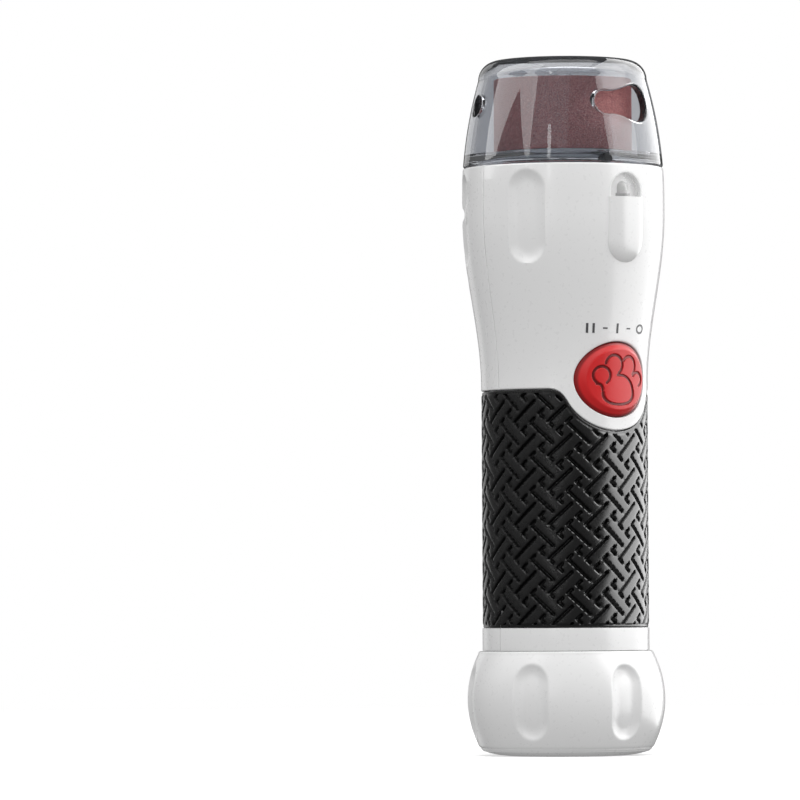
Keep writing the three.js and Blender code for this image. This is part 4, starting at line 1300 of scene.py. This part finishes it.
def guard():
    rows = guard_outline()
    sheet = Sheet(np.arange(-180, 180, 1.0), rows[:, 0], closed=True)
    half = ((PORT_LARGE_X + PORT_LARGE_R - PORT_SMALL_X + PORT_SMALL_R) / 2, PORT_LARGE_R)
    middle = (PORT_SMALL_X - PORT_SMALL_R + PORT_LARGE_X + PORT_LARGE_R) / 2
    view_x = middle + 1.2
    block = (-half[0] - 3.1, half[0] + 0.9, -half[1] - 1.9, half[1] + 1.9)
    sheet.hole(0, view_x, PORT_Z, block, half, traced(port_shape, view_x, PORT_Z, half), 6)
    sheet.hole(SIDE_PORT_AZIMUTH, 0, PORT_Z, (-4, 4, -4, 4), (SIDE_PORT_R, SIDE_PORT_R),
               lambda a: (SIDE_PORT_R * np.cos(a), PORT_Z + SIDE_PORT_R * np.sin(a)), 4)
    sheet.fill()
    sheet.pole(rows[-1, 0] + 0.3)
    rows = np.vstack([rows, [rows[-1, 0] + 0.3, 0, GUARD_TOP, 0, GUARD_TOP - WALL]])

    def surface(k):
        def place(azimuth, level):
            r = np.interp(level, rows[:, 0], rows[:, k])
            z = np.interp(level, rows[:, 0], rows[:, k + 1])
            return on_wall(azimuth, r, z)
        return place

    def rim(azimuth, level):
        return np.where(level < SKIRT_BOTTOM + 0.1, 0.02, 0.45)

    dome = thick(sheet, surface(1), surface(3), rim)
    piece("guard_clear", "smoke_clear", "guard", [dome], ["guard"], smooth=40)


# ---------------------------------------------------------------- carried-over inner parts

INNER_MATERIALS = {
    "black_plastic": ("switch_body", "motor_end_cap"),
    "natural_plastic": ("switch_plunger", "cell_cradle", "lamp_wire_left", "lamp_wire_right"),
    "board_green": ("control_board",),
    "cell_jacket": ("cell_lower", "cell_upper"),
    "brass": ("contact_strip", "top_contact", "contact_disc", "motor_front_bush", "motor_rear_bush",
              "motor_terminal_left", "motor_terminal_right"),
    "steel": ("base_spring", "motor_shaft", "motor_screw_left", "motor_screw_right"),
    "motor_steel": ("motor_can",),
    "armature_iron": ("motor_armature",),
    "copper": ("motor_commutator",),
    "magnet": ("motor_magnet_left", "motor_magnet_right"),
    "wire_red": ("motor_wire_left",),
    "wire_black": ("motor_wire_right",),
}


def finish_inner_parts():
    for material, nodes in INNER_MATERIALS.items():
        for node in nodes:
            mesh = frame["nodes"][node].data
            mesh.materials.clear()
            mesh.materials.append(MATERIALS[material])


# ---------------------------------------------------------------- studio

# Places and distances of the lights are in metres.
LIGHT_TARGET = Vector((0, 0, 0.09))
GUARD_MIDDLE = Vector((0, 0, 0.15))
FLAG_Z, FLAG_NEAR, FLAG_FAR = 0.136, 0.03, 0.8
WORLD_STRENGTHS = (("Is Glossy Ray", 0.11), ("Is Transmission Ray", 0.64), ("Is Camera Ray", 1.0))


def softbox(name, azimuth, elevation, distance, width, height, radiance, glossy_only=False):
    """A soft light that faces the object, from a direction given relative to the camera."""
    data = bpy.data.lights.new(name, "AREA")
    data.shape = "RECTANGLE"
    data.size, data.size_y = width, height
    data.energy = radiance * np.pi * width * height
    light = linked(name, data)
    e = np.radians(elevation)
    away = compass(CAMERA_AZIMUTH + azimuth) * np.cos(e) + Vector((0, 0, np.sin(e)))
    light.location = LIGHT_TARGET + away * distance
    light.rotation_euler = away.to_track_quat("Z", "Y").to_euler()
    light.visible_camera = False
    if glossy_only:
        light.visible_diffuse = False
        light.visible_transmission = False
        light.visible_shadow = False
    return light


def panel(name, radiance, outlines):
    """Flat panels that only show in reflections, given by their outlines in metres."""
    points, faces = [], []
    for outline in outlines:
        faces.append(tuple(range(len(points), len(points) + len(outline))))
        points.extend(outline)
    mesh = bpy.data.meshes.new(name)
    mesh.from_pydata(points, [], faces)
    nodes = Nodes(name)
    nodes.set(Base_Color=(0, 0, 0, 1), Specular_IOR_Level=0.0)
    nodes.set(Emission_Color=(1, 1, 1, 1), Emission_Strength=radiance)
    mesh.materials.append(nodes.material)
    sheet = linked(name, mesh)
    sheet.visible_camera = sheet.visible_diffuse = sheet.visible_transmission = sheet.visible_shadow = False


def seen_from_guard(outline):
    """Points a metre from the guard, from their (azimuth from the camera, elevation) as it sees them."""
    return [GUARD_MIDDLE + compass(CAMERA_AZIMUTH + azimuth) + Vector((0, 0, np.tan(np.radians(elevation))))
            for azimuth, elevation in outline]


def studio():
    scene = bpy.context.scene
    scene.view_settings.view_transform = "Standard"
    world = bpy.data.worlds.new("studio")
    world.use_nodes = True
    scene.world = world
    tree = world.node_tree
    tree.nodes.clear()
    output = tree.nodes.new("ShaderNodeOutputWorld")
    path = tree.nodes.new("ShaderNodeLightPath")

    def backdrop(strength):
        light = tree.nodes.new("ShaderNodeBackground")
        light.inputs["Strength"].default_value = strength
        light.inputs["Color"].default_value = (1, 1, 1, 1)
        return light.outputs["Background"]

    shader = backdrop(0.56)
    for ray, strength in WORLD_STRENGTHS:
        mix = tree.nodes.new("ShaderNodeMixShader")
        tree.links.new(path.outputs[ray], mix.inputs["Fac"])
        tree.links.new(shader, mix.inputs[1])
        tree.links.new(backdrop(strength), mix.inputs[2])
        shader = mix.outputs["Shader"]
    tree.links.new(shader, output.inputs["Surface"])
    softbox("key_right", 80, 30, 1.4, 0.9, 0.9, 1.9)
    softbox("top", 10, 78, 1.5, 1.4, 1.4, 2.2)
    softbox("front", -18, 42, 1.4, 1.2, 1.2, 1.15).visible_glossy = False
    softbox("gloss_right", 106, 22, 1.0, 2.2, 1.6, 3.6, glossy_only=True)
    softbox("gloss_streak", -16, 13, 1.2, 0.08, 0.5, 5.5, glossy_only=True)
    softbox("gloss_back", -150, 6, 1.2, 0.5, 1.2, 0.8, glossy_only=True)
    panel("gloss_left", 4.0, [seen_from_guard(outline) for outline in (
        [(-102, 3), (-93, 3), (-61, 29), (-61, 60), (-102, 60)],
        [(-61, 29), (-45, 13), (-42, 3), (-40, 3), (-35, 40), (-35, 60), (-61, 60)],
    )])
    # a dark flag keeps that panel's reflection off the body below the guard
    panel("flag", 0.1, [[
        compass(CAMERA_AZIMUTH + azimuth) * reach + Vector((0, 0, FLAG_Z))
        for reach, azimuth in ((FLAG_NEAR, -125), (FLAG_FAR, -125), (FLAG_FAR, -75), (FLAG_FAR, -20),
                               (FLAG_FAR, -6), (FLAG_NEAR, -6))
    ]])


def floor():
    """A pale floor that fades into the backdrop. Its sizes are in metres."""
    half, fade_start, fade_end = 0.8, 0.2, 0.7
    mesh = bpy.data.meshes.new("floor")
    corners = [(-half, -half, 0), (half, -half, 0), (half, half, 0), (-half, half, 0)]
    mesh.from_pydata(corners, [], [(0, 1, 2, 3)])
    nodes = Nodes("floor")
    nodes.set(Specular_IOR_Level=0.0, Roughness=0.9, Emission_Color=(1, 1, 1, 1), Emission_Strength=0.3)
    nodes.vary(nodes.noise(0.6, 1), (0.93, 0.93, 0.93), (0.94, 0.94, 0.94), "Base Color")
    reach = nodes.add("ShaderNodeVectorMath", operation="LENGTH")
    nodes.join(nodes.place, "Object", reach, 0)
    fade = nodes.add("ShaderNodeMapRange")
    for socket, value in (("From Min", fade_start), ("From Max", fade_end), ("To Min", 1), ("To Max", 0)):
        fade.inputs[socket].default_value = value
    nodes.join(reach, "Value", fade, "Value")
    nodes.join(fade, "Result", nodes.shader, "Alpha")
    mesh.materials.append(nodes.material)
    plane = linked("floor", mesh)
    plane.visible_diffuse = plane.visible_glossy = False


# ---------------------------------------------------------------- assembly

for make in (front_shell, rear_shell, spigot_thread, lamp_pod, lamp_cup, lamp_lens, led, grip, button,
             switch_marks, base_cap, cap_seal, deck, guard_key, drum_hub, sanding_band, screws, guard,
             finish_inner_parts, studio, floor):
    make()
